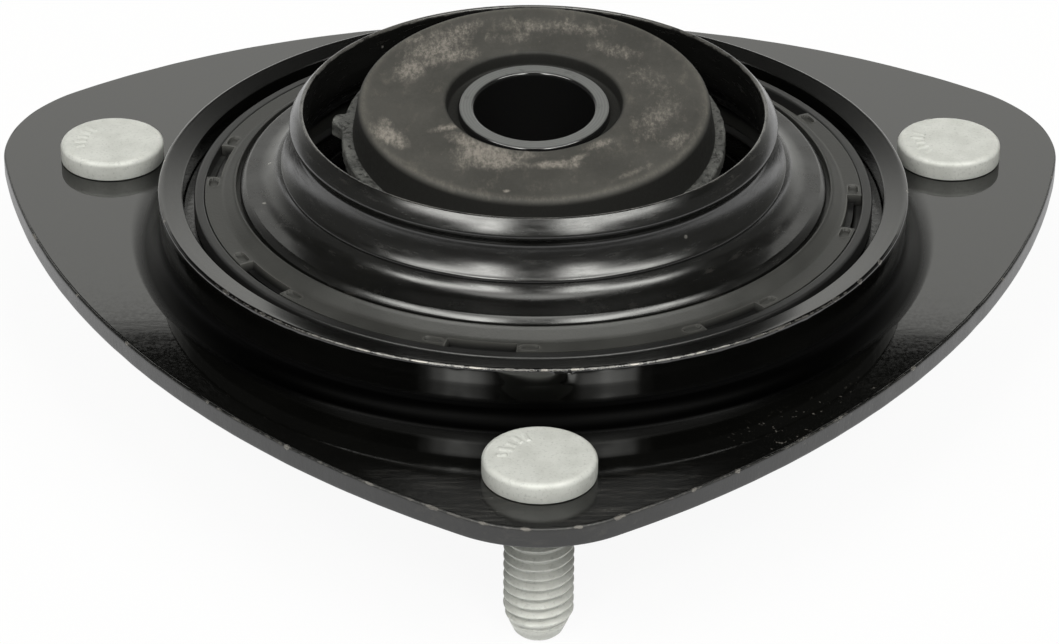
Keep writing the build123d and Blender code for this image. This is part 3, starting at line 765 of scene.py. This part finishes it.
turned_lines = (3000, 3.0, 0.6, (1.0, 1.0, 6.0))
steel_greys = ((0.50, 0.50, 0.49), (0.62, 0.62, 0.61))
nylon_creams = ((0.42, 0.39, 0.32), (0.50, 0.47, 0.39))
seal_blacks = ((0.012, 0.012, 0.012), (0.026, 0.026, 0.025))
race_steel = cloudy_finish(
    "race_steel_ground", turned_lines, steel_greys, (0.16, 0.26), turned_lines, 2e-6, Metallic=1.0
)
cage_nylon = cloudy_finish("cage_nylon", (600,), nylon_creams, (0.36, 0.46), (2500,), 8e-6, IOR=1.53)
seal_rubber = cloudy_finish("seal_rubber", (500,), seal_blacks, (0.46, 0.6), (2200,), 1.5e-5, IOR=1.5)
for carried, own_finish in (
    ("upper_race", race_steel),
    ("lower_race", race_steel),
    ("bearing_balls", race_steel),
    ("ball_cage", cage_nylon),
    ("outer_seal", seal_rubber),
    ("inner_seal", seal_rubber),
):
    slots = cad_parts[carried].data.materials
    if not slots:
        slots.append(own_finish)
    for place_in_list in range(len(slots)):
        slots[place_in_list] = own_finish

# Support ring: moulded black plastic that turns with the spring seat. Eight snap windows go
# through its flange, each with a shallow step beside it, a blind notch at both ends and a low
# ridge round them all.
ring_inner, ring_outer, ring_flange_top, ring_flange_bottom = 31.3, 39.42, 8.6, 7.3
window_count, window_phase, window_half, window_near = 8, 35.4, 5.9, 38.5
step_near, step_depth = 37.75, 0.95
notch_reach, notch_radius, notch_length, notch_swing, notch_depth = 38.45, 1.05, 2.2, 8.2, 0.3
ridge_width, ridge_height = 0.17, 0.05
ring_columns, window_pitch = 1440, 360.0 / window_count
around_ring = 360.0 * np.arange(ring_columns) / ring_columns
from_window = (around_ring - window_phase + window_pitch / 2) % window_pitch - window_pitch / 2
flange_rings = np.concatenate([[37.5], np.arange(37.56, 39.26, 0.0785), [39.3, 39.37, 39.42]])
ring_under = [(ring_inner, 6.9), (37.6, 6.9), (37.8, 6.9), (37.8, 6.1), (38.3, 6.1), (38.3, 7.15)]
ring_cone = [(37.35, 8.62), (37.0, 8.87), (36.6, 9.17), (36.2, 9.47), (36.0, 9.62), (35.93, 9.74)]
ring_cone += [(35.86, 9.79), (35.72, 9.79), (35.66, 9.74), (35.65, 9.6), (35.65, 8.9), (ring_inner, 8.9)]
ring_sections, ring_slots, ring_ridges = [], [], []
for swing in np.abs(from_window):
    windowed = swing < window_half
    outer = window_near if windowed else ring_outer
    section = ring_under + [(min(radius, outer), ring_flange_bottom) for radius in (38.4, 38.9, 39.3)]
    section += [(outer, 7.35), (outer, 7.5), (outer, 7.6)]
    slot, ridge = [0.0] * 9 + [float(windowed)] * 3, [0.0] * 12
    past_window = (swing - window_half) * math.radians(1) * step_near
    across = (swing - notch_swing) * math.radians(1) * notch_reach
    along = max(0.0, abs(across) - (notch_length - notch_radius) / 2)
    for reach in flange_rings[::-1]:
        from_notch = math.hypot(along, reach - notch_reach) - notch_radius / 2
        from_edge = math.hypot(max(0.0, past_window), max(0.0, step_near - reach))
        if windowed:
            fall = step_depth if reach > step_near else 0.0
        else:
            fall = notch_depth if from_notch < 0 else 0.0
        beside = 0.0 if fall else math.exp(-((min(from_notch, from_edge) / ridge_width) ** 2))
        lift = ridge_height * beside if reach < 39.3 else 0.0
        edge_fall = 0.02 if reach > 39.4 else 0.0
        section.append((min(reach, outer), ring_flange_top - fall - edge_fall + lift))
        slot.append(float(windowed and fall > 0))
        ridge.append(beside)
    ring_sections.append(section + ring_cone)
    ring_slots.append(slot + [0.0] * len(ring_cone))
    ring_ridges.append(ridge + [0.0] * len(ring_cone))
support_ring = turned(
    "support_ring_moulded", ring_sections, bend=34.0, slot=ring_slots, ridge=ring_ridges
)
ring_plastic = moulded_plastic("ring_plastic", (0.031, 0.031, 0.029), 0.42, 2.2e-5, True)
support_ring.data.materials.append(ring_plastic)
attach(support_ring, "spring_side")
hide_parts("support_ring")

# Dome: the spring's seat, one steel pressing with a flat flange, a hollow wall over a crease, a
# waist and a rolled lip. Its black satin coating shows fine specks and the strokes of handling.
flange_edge, bevel_foot, bevel_top, flange_rim = (35.2, 9.5), (35.04, 9.86), (34.54, 10.355), (34.36, 10.4)
fillet_start, crease_foot, crease_top = (33.0, 10.4), (30.3, 12.15), (30.1, 12.75)
waist_foot, waist_top, lip_edge = (28.5, 15.7), (28.72, 16.85), (29.12, 17.62)
lip_top, lip_inside = (27.97, 19.19), (27.44, 19.1)
bore_foot, fillet_under = (27.15, 15.7), (29.0, 11.4)
dome_dark, dome_worn = (0.0040, 0.0040, 0.0037), (0.0062, 0.0062, 0.0057)


def arc_through(start, middle, end, steps):
    """Points of the arc through three points, without its last one."""
    (ax, az), (bx, bz), (cx, cz) = start, middle, end
    across = 2 * (ax * (bz - cz) + bx * (cz - az) + cx * (az - bz))
    a, b, c = ax**2 + az**2, bx**2 + bz**2, cx**2 + cz**2
    x = (a * (bz - cz) + b * (cz - az) + c * (az - bz)) / across
    z = (a * (cx - bx) + b * (ax - cx) + c * (bx - ax)) / across
    angles = [math.atan2(p[1] - z, p[0] - x) for p in (start, middle, end)]
    swing = (angles[2] - angles[0]) % (2 * math.pi)
    if (angles[1] - angles[0]) % (2 * math.pi) > swing:
        swing -= 2 * math.pi
    radius = math.hypot(ax - x, az - z)
    return [
        (x + radius * math.cos(angles[0] + swing * s), z + radius * math.sin(angles[0] + swing * s))
        for s in np.linspace(0, 1, steps + 1)[:-1]
    ]


def arc_leaving(start, end, steps):
    """Points of the arc that leaves start inwards along the flat and ends at end, without its last."""
    dx, dz = end[0] - start[0], end[1] - start[1]
    radius = (dx**2 + dz**2) / (2 * dz)
    swing = math.atan2(dz - radius, dx) + math.pi / 2
    swing = swing if swing < 0 else swing - 2 * math.pi
    points = []
    for share in np.linspace(0, 1, steps + 1)[:-1]:
        turn = -math.pi / 2 + swing * share
        points.append((start[0] + radius * math.cos(turn), start[1] + radius + radius * math.sin(turn)))
    return points


dome_section = [(35.2, 8.95), (35.2, 9.45)]
dome_section += arc_through(flange_edge, (35.15, 9.70), bevel_foot, 5)
dome_section += arc_through(bevel_foot, (34.80, 10.13), bevel_top, 8)
dome_section += arc_through(bevel_top, (34.46, 10.39), flange_rim, 4)
dome_section += [flange_rim, (33.9, 10.4), (33.4, 10.4)]
dome_section += arc_leaving(fillet_start, crease_foot, 16)
for start, through, end, steps in (
    (crease_foot, (30.31, 12.46), crease_top, 8),
    (crease_top, (29.11, 14.12), waist_foot, 16),
    (waist_foot, (28.43, 16.35), waist_top, 8),
    (waist_top, (29.07, 17.15), lip_edge, 10),
    (lip_edge, (28.58, 18.47), lip_top, 12),
    (lip_top, (27.7, 19.34), lip_inside, 8),
):
    dome_section += arc_through(start, through, end, steps)
dome_section += [(27.42, 18.95)]
dome_section += [(27.4 - 0.25 * share, 18.85 - 3.15 * share) for share in (0, 0.25, 0.5, 0.75)]
dome_section += arc_through(bore_foot, (27.6, 13.5), fillet_under, 12) + [fillet_under]
dome_section += arc_leaving((33.0, 8.9), fillet_under, 12)[:0:-1] + [(33.0, 8.9), (35.1, 8.9)]
dome_section = np.array(dome_section)
lip_worn = near(np.hypot(dome_section[:, 0] - 27.6, dome_section[:, 1] - 19.25), 0.4)
spring_seat_dome = turned("spring_seat_dome_pressed", dome_section, bend=30.0, worn=lip_worn)

satin_black, shader, place = finish("satin_black_coat", IOR=1.74)
wide = grain(place, 70, 3.0)
fine = grain(place, 2400, 3.0, 0.6)
strokes = grain(place, 260, 5.0, 0.7, (1.0, 1.0, 7.0))
dust = times(spots(place, 330, 0.05, 0.10), eased(grain(place, 90, 3.0), 0.5, 0.62))
lip_rubbed = eased(times(marked(place, "worn"), grain(place, 500, 4.0, 0.7)), 0.28, 0.5)
shade = mixed(eased(wide, 0.3, 0.7), dome_dark, dome_worn)
shade = mixed(eased(strokes, 0.60, 0.75, 0.0, 0.3), shade, (0.07, 0.064, 0.058))
shade = mixed(times(dust, 0.6), shade, (0.30, 0.29, 0.27))
shade = mixed(times(lip_rubbed, 0.5), shade, (0.16, 0.155, 0.145))
gloss = eased(strokes, 0.35, 0.7, 0.19, 0.29)
wire(shader, shade, gloss, raised_by(plus(fine, times(strokes, 0.5)), 3.5e-6))
spring_seat_dome.data.materials.append(satin_black)
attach(spring_seat_dome, "spring_side")
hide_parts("spring_seat_dome")

# Rubber bush: natural rubber moulded between the cup and the sleeve, black and dull. Its neck
# follows the sleeve, which leans 6.6 degrees to the front, up to the stop plate.
strut_lean = math.radians(6.6)
bush_columns = 480
around_bush = directions(bush_columns)


def beside_sleeve(height, radius=8.3):
    """Radius from the bearing axis at which a level cut meets the leaning sleeve, in each direction."""
    off = -height * math.tan(strut_lean)
    return off * np.sin(around_bush) + np.sqrt(radius**2 - (off * np.cos(around_bush)) ** 2)


def copies_of(section, columns):
    """A section for each column of a turned piece, to be changed from one to the next."""
    return np.broadcast_to(section, (columns,) + section.shape).copy()


fill_corners = rounded(
    [
        (10.0, 3.6),
        (27.1, 3.6, 0.4),
        (27.1, -9.0, 3.0),
        (14.0, -9.0),
        (14.0, -13.0, 0.7),
        (10.0, -13.0),
    ],
    6,
    longest=1.6,
)
neck_corners = [(8.3, -1.0), (17.0, -1.0), (17.0, 10.1, 1.5), (21.0, 15.1), (8.3, 15.1)]
fill_sections = copies_of(fill_corners, bush_columns)
for corner_index, (radius, height) in enumerate(fill_corners):
    if radius < 10.001:
        fill_sections[:, corner_index, 0] = beside_sleeve(height)
bush_fill = turned("bush_fill", fill_sections)
bush_neck = turned("bush_neck", rounded(neck_corners, 6, longest=1.2), 360, lean=strut_lean)
rubber_work = bmesh.new()
rubber_work.from_mesh(bush_fill.data)
rubber_work.from_mesh(bush_neck.data)
rubber_mesh = bpy.data.meshes.new("rubber_bush_moulded")
rubber_work.to_mesh(rubber_mesh)
rubber_work.free()
for part in (bush_fill, bush_neck):
    bpy.data.objects.remove(part)
rubber_bush = placed("rubber_bush_moulded", rubber_mesh)
rubber_mesh.set_sharp_from_angle(angle=math.radians(32))

bush_black, shader, place = finish("bush_rubber_black", IOR=1.5)
bloom = grain(place, 130, 4.0, 0.6)
shade = mixed(eased(bloom, 0.35, 0.7), (0.008, 0.008, 0.0078), (0.014, 0.0135, 0.013))
bush_skin = raised_by(grain(place, 1500, 4.0, 0.6), 2.2e-5)
wire(shader, shade, eased(bloom, 0.3, 0.7, 0.56, 0.68), bush_skin)
rubber_bush.data.materials.append(bush_black)
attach(rubber_bush, "mount")
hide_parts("rubber_bush")

# Inner sleeve: steel tube that the strut's rod is clamped in. The end face is turned and dull
# grey, and the bore keeps a shiny dark coat.
sleeve_bore, sleeve_outer, sleeve_bottom, sleeve_top = 7.1, 9.05, -14.0, 20.8
sleeve_section = [
    (sleeve_bore, sleeve_bottom, 0.4),
    (sleeve_outer, sleeve_bottom, 0.3),
    (sleeve_outer, sleeve_top, 0.35),
    (sleeve_bore, sleeve_top, 0.45),
]
sleeve_section = rounded(sleeve_section, 5, longest=2.0)
on_face = ramp(sleeve_section[:, 1], 20.76, 0.03)
inner_sleeve = turned("inner_sleeve_turned", sleeve_section, 360, lean=strut_lean, endface=on_face)

sleeve_steel, shader, place = finish("sleeve_steel", IOR=1.7)
sockets = {"Vector": place, "Rotation": (-strut_lean, 0.0, 0.0)}
upright_place = node(place.id_data, "ShaderNodeMapping", sockets).outputs[0]
sockets = {"Vector": upright_place, "Scale": 900.0, "Distortion": 1.2, "Detail": 3.0, "Detail Scale": 2.0}
rings = {"wave_type": "RINGS", "rings_direction": "Z"}
turned_rings = node(place.id_data, "ShaderNodeTexWave", sockets, **rings).outputs["Fac"]
cloudy = grain(place, 500, 4.0, 0.65)
face = marked(place, "endface")
bright = mixed(turned_rings, (0.125, 0.128, 0.128), (0.165, 0.168, 0.165))
bright = mixed(eased(cloudy, 0.6, 0.72, 0.0, 0.6), bright, (0.07, 0.072, 0.072))
shade = mixed(face, (0.008, 0.008, 0.008), bright)
wire(shader, shade, plus(times(face, 0.28), 0.1), raised_by(times(plus(turned_rings, cloudy), face), 4e-6))
inner_sleeve.data.materials.append(sleeve_steel)
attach(inner_sleeve, "mount")
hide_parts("inner_sleeve")

# Stop plate: a steel disc on the sleeve that the pad is bonded to. Its rim stands out round the
# pad, rough grey where the bonding lacquer ends, with a torn rubber nub at the left.
stop_inner, stop_outer, stop_bottom, stop_top = 8.6, 22.9, 15.1, 17.1
nub_direction, nub_half, nub_reach, nub_height = math.radians(174.0), 1.25, 1.25, 0.35
stop_columns = 720
stop_ragged = ragged(stop_columns, 0.09, 21, finest=220)
nub = near(wrapped(directions(stop_columns) - nub_direction) * stop_outer, nub_half, 4)
nub = nub * (1.0 + 0.25 * ragged(stop_columns, 1.0, 22, 400))
stop_section = [
    (stop_inner, stop_bottom),
    (stop_outer, stop_bottom, 0.4),
    (stop_outer, stop_top, 0.35),
    (stop_inner, stop_top),
]
stop_base = rounded(stop_section, 5, longest=0.9)
stop_sections = copies_of(stop_base, stop_columns)
outer_share = ramp(stop_base[:, 0], 21.6, 1.3)
stop_sections[..., 0] += outer_share * (stop_ragged[:, None] - 0.05)
stop_sections[..., 0] += outer_share**3 * nub[:, None] * nub_reach
stop_sections[..., 1] += np.where(stop_base[:, 1] > 16, outer_share, 0) * (
    nub[:, None] * nub_height + ragged(stop_columns, 0.06, 23, 260)[:, None]
)
stop_plate = turned("stop_plate_rough", stop_sections, lean=strut_lean)

stop_rough, shader, place = finish("stop_plate_rough", IOR=1.5)
patchy = grain(place, 420, 5.0, 0.7)
speckle = grain(place, 1500, 4.0, 0.75)
shade = mixed(eased(patchy, 0.35, 0.65), (0.060, 0.061, 0.058), (0.13, 0.131, 0.124))
shade = mixed(eased(speckle, 0.52, 0.60, 0.0, 0.92), shade, (0.010, 0.010, 0.009))
shade = mixed(eased(speckle, 0.40, 0.30, 0.0, 0.55), shade, (0.27, 0.27, 0.25))
stop_skin = raised_by(worked("SUBTRACT", patchy, speckle), 1.6e-4)
wire(shader, shade, eased(patchy, 0.3, 0.7, 0.38, 0.6), stop_skin)
stop_plate.data.materials.append(stop_rough)
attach(stop_plate, "mount")
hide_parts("stop_plate")

# Bump pad: the rubber disc that the bump stop strikes, vulcanised to the stop plate. The strut's
# stop has scuffed pale, dusty patches into its dark warm-grey face.
pad_top, pad_bottom, pad_top_radius, pad_bottom_radius = 21.6, 17.08, 20.8, 21.6
counterbore_radius, counterbore_depth, counterbore_draft, pad_inner = 10.5, 1.8, 0.25, 9.0
pad_grey, pad_pale = (0.042, 0.0405, 0.036), (0.33, 0.30, 0.265)
# scuffs: middle across and along in mm, half length, half width, turn in degrees, strength
scuffs = (
    (-11.6, 11.4, 6.8, 3.0, 52, 0.62), (-9.4, 9.6, 3.6, 1.7, 8, 0.55), (-14.6, 6.4, 3.0, 2.2, 70, 0.62),
    (-13.9, 13.2, 1.6, 1.2, 40, 0.55), (-7.6, 16.3, 2.4, 1.0, 30, 0.45), (-17.0, -7.6, 3.4, 1.5, -52, 0.86),
    (-17.6, -4.6, 1.6, 0.9, -60, 0.5), (-9.8, -5.6, 3.3, 0.8, 20, 0.62), (-8.0, -8.6, 3.2, 1.6, -35, 0.62),
    (-5.8, -11.4, 4.2, 3.3, -10, 0.78), (-4.0, -12.9, 3.0, 1.9, 5, 0.72), (-1.6, -11.7, 2.2, 1.3, 15, 0.62),
    (2.3, -13.5, 3.5, 1.05, 5, 0.84), (4.9, -12.2, 1.7, 0.7, 40, 0.66), (7.7, -9.1, 2.1, 0.9, 33, 0.7),
    (14.6, -3.4, 5.2, 2.8, 62, 0.44), (16.6, -8.4, 3.0, 1.5, 50, 0.46), (13.6, 4.8, 4.4, 2.6, -50, 0.34),
    (9.9, 10.4, 4.2, 1.8, -28, 0.38), (3.0, 16.0, 7.4, 2.0, -6, 0.42), (-2.4, 13.4, 4.6, 1.4, 6, 0.30),
    (-3.4, -18.8, 0.45, 0.35, 0, 0.95), (11.0, -15.2, 3.4, 0.6, 36, 0.4),
)
# bare place where the real pad carries moulded characters: a low smooth field
plain_field, field_depth = (-15.2, 2.4, 2.6, 1.5, 62), 0.10
pad_section = [
    (pad_inner, pad_bottom),
    (pad_bottom_radius, pad_bottom, 0.2),
    (pad_top_radius, pad_top, 0.9),
    (counterbore_radius, pad_top, 0.45),
    (counterbore_radius - counterbore_draft, pad_top - counterbore_depth, 0.3),
    (pad_inner, pad_top - counterbore_depth),
]
pad_base = rounded(pad_section, 7, longest=0.3)
pad_columns = 480
around_pad = directions(pad_columns)[:, None]
pad_sections = copies_of(pad_base, pad_columns)
pad_x = pad_sections[..., 0] * np.cos(around_pad)
pad_y = pad_sections[..., 0] * np.sin(around_pad)
pad_upper = ramp(pad_sections[..., 1], 20.2, 0.8)


def seen_from(across, along, length, width, turn):
    """How far each point of the pad lies from a mark's middle, in its half lengths and half widths."""
    dx, dy, turn = pad_x - across, pad_y - along, math.radians(turn)
    return (
        (dx * math.cos(turn) + dy * math.sin(turn)) / length,
        (dy * math.cos(turn) - dx * math.sin(turn)) / width,
    )


scuffed = np.zeros(pad_x.shape)
for *scuff, strength in scuffs:
    off = np.hypot(*seen_from(*scuff))
    scuffed = np.maximum(scuffed, strength * np.clip(1.25 - off, 0, 1) ** 0.8)
scuffed *= pad_upper
field = np.maximum(*np.abs(seen_from(*plain_field)))
pad_sections[..., 1] -= field_depth * pad_upper * ramp(field, 1.1, -0.12)
pad_sections[..., 1] += ragged(pad_columns, 0.03, 31, 24)[:, None] * pad_upper
# painted shade: only the pad's top face keeps its colour; its side and counterbore are painted much darker
pad_face = ramp(pad_base[:, 1], 20.9, 0.6) * ramp(pad_base[:, 0], 10.3, 0.6)
pad_rim = near(np.hypot(pad_base[:, 0] - 20.3, pad_base[:, 1] - 21.55), 0.45)
bump_pad = turned(
    "bump_pad_scuffed", pad_sections, lean=strut_lean, scuff=scuffed, face=pad_face, rim=pad_rim
)

pad_rubber, shader, place = finish("pad_rubber_scuffed", IOR=1.45)
cloudy = grain(place, 110, 5.0, 0.62)
skin = grain(place, 1900, 4.0, 0.65)
smear = grain(place, 360, 6.0, 0.72, (1.6, 0.75, 1.0))
torn = grain(place, 1500, 6.0, 0.8, (1.5, 0.7, 1.0))
rub = eased(plus(marked(place, "scuff"), plus(smear, torn)), 1.12, 1.86, 0.0, 0.74)
rub = times(rub, eased(torn, 0.36, 0.62, 0.34, 1.0))
rim_rubbed = times(marked(place, "rim"), eased(torn, 0.4, 0.6, 0.1, 0.4))
shade = mixed(eased(cloudy, 0.3, 0.7), pad_grey, (0.064, 0.0615, 0.055))
shade = mixed(eased(smear, 0.52, 0.72, 0.0, 0.3), shade, (0.17, 0.155, 0.13))
shade = mixed(eased(torn, 0.6, 0.72, 0.0, 0.25), shade, (0.18, 0.17, 0.15))
shade = mixed(rub, shade, pad_pale)
shade = mixed(rim_rubbed, shade, (0.17, 0.16, 0.14))
# painted shade: the pad's side and counterbore are painted near black
shade = mixed(marked(place, "face"), (0.012, 0.0118, 0.0105), shade)
pad_skin = raised_by(plus(skin, times(rub, 1.2)), 2.6e-5)
wire(shader, shade, eased(torn, 0.3, 0.7, 0.62, 0.74), pad_skin)
bump_pad.data.materials.append(pad_rubber)
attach(bump_pad, "mount")
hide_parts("bump_pad")

# Floor, light and background: a white table in a white studio. A narrow bright soft box and a
# wide one beyond it stand on each side of the front, and another hangs over the part.
floor_height, floor_half = -0.01802, 3.0
room_light, wall_light = 0.1, 0.988
# each, on both sides: degrees off the front from and to, degrees up from and to, softness, strength
soft_boxes = (
    (16.5, 30.0, 33.0, 58.0, 6.0, 11.0),
    (31.0, 76.0, 43.0, 57.0, 5.0, 8.0),
    (0.0, 60.0, 64.0, 86.0, 8.0, 2.6),
)
floor_corners = [
    (x * floor_half, y * floor_half, floor_height) for x, y in ((-1, -1), (1, -1), (1, 1), (-1, 1))
]
floor_mesh = bpy.data.meshes.new("floor")
floor_mesh.from_pydata(floor_corners, [], [(0, 1, 2, 3)])
floor = placed("floor", floor_mesh)
floor_white, shader, place = finish("floor_white", Roughness=1.0, Specular_IOR_Level=0.0)
shader.inputs["Base Color"].default_value = (0.86, 0.86, 0.86, 1.0)
tree = shader.id_data
path = node(tree, "ShaderNodeLightPath").outputs
seen = greater(greater(path["Is Camera Ray"], path["Is Glossy Ray"]), path["Is Transmission Ray"])
glow = node(tree, "ShaderNodeEmission", {"Color": (1.0, 1.0, 1.0), "Strength": 1.0}).outputs[0]
both = node(tree, "ShaderNodeMixShader", {0: times(seen, 0.93), 1: shader.outputs[0], 2: glow})
tree.links.new(both.outputs[0], tree.nodes["Material Output"].inputs["Surface"])
floor.data.materials.append(floor_white)

studio = bpy.data.worlds.new("studio")
studio.use_nodes = True
bpy.context.scene.world = studio
tree = studio.node_tree
tree.nodes.clear()
toward = node(tree, "ShaderNodeTexCoord").outputs["Generated"]
toward = node(tree, "ShaderNodeSeparateXYZ", {0: toward}).outputs
side = worked("ABSOLUTE", worked("ARCTAN2", toward["X"], times(toward["Y"], -1.0)))
rise = worked("ARCSINE", toward["Z"])
light = room_light
for side_from, side_to, rise_from, rise_to, softness, strength in soft_boxes:
    soft = math.radians(softness)
    box = strength
    for value, start, end in ((side, side_from, side_to), (rise, rise_from, rise_to)):
        start, end = math.radians(start), math.radians(end)
        if start > 0:
            box = times(eased(value, start - soft, start + soft), box)
        box = times(eased(value, end - soft, end + soft, 1.0, 0.0), box)
    light = plus(box, light)
# the white table's far end stops a little above the part's horizon, with the dark room over it
table_end = eased(rise, math.radians(29.85), math.radians(30.1), 1.0, 0.0)
behind = eased(side, math.radians(122), math.radians(160), 0.12, wall_light)
walls = worked("SUBTRACT", times(table_end, behind), 0.088)
path = node(tree, "ShaderNodeLightPath").outputs
light = plus(light, times(walls, greater(path["Is Glossy Ray"], path["Is Transmission Ray"])))
lit = node(tree, "ShaderNodeBackground", {"Color": (1.0, 1.0, 0.955), "Strength": light}).outputs[0]
white = node(tree, "ShaderNodeBackground", {"Color": (1.0, 1.0, 1.0), "Strength": 1.0}).outputs[0]
shown = node(tree, "ShaderNodeMixShader", {0: path["Is Camera Ray"], 1: lit, 2: white})
out = tree.nodes.new("ShaderNodeOutputWorld")
tree.links.new(shown.outputs[0], out.inputs["Surface"])
bpy.context.scene.view_settings.view_transform = "Standard"
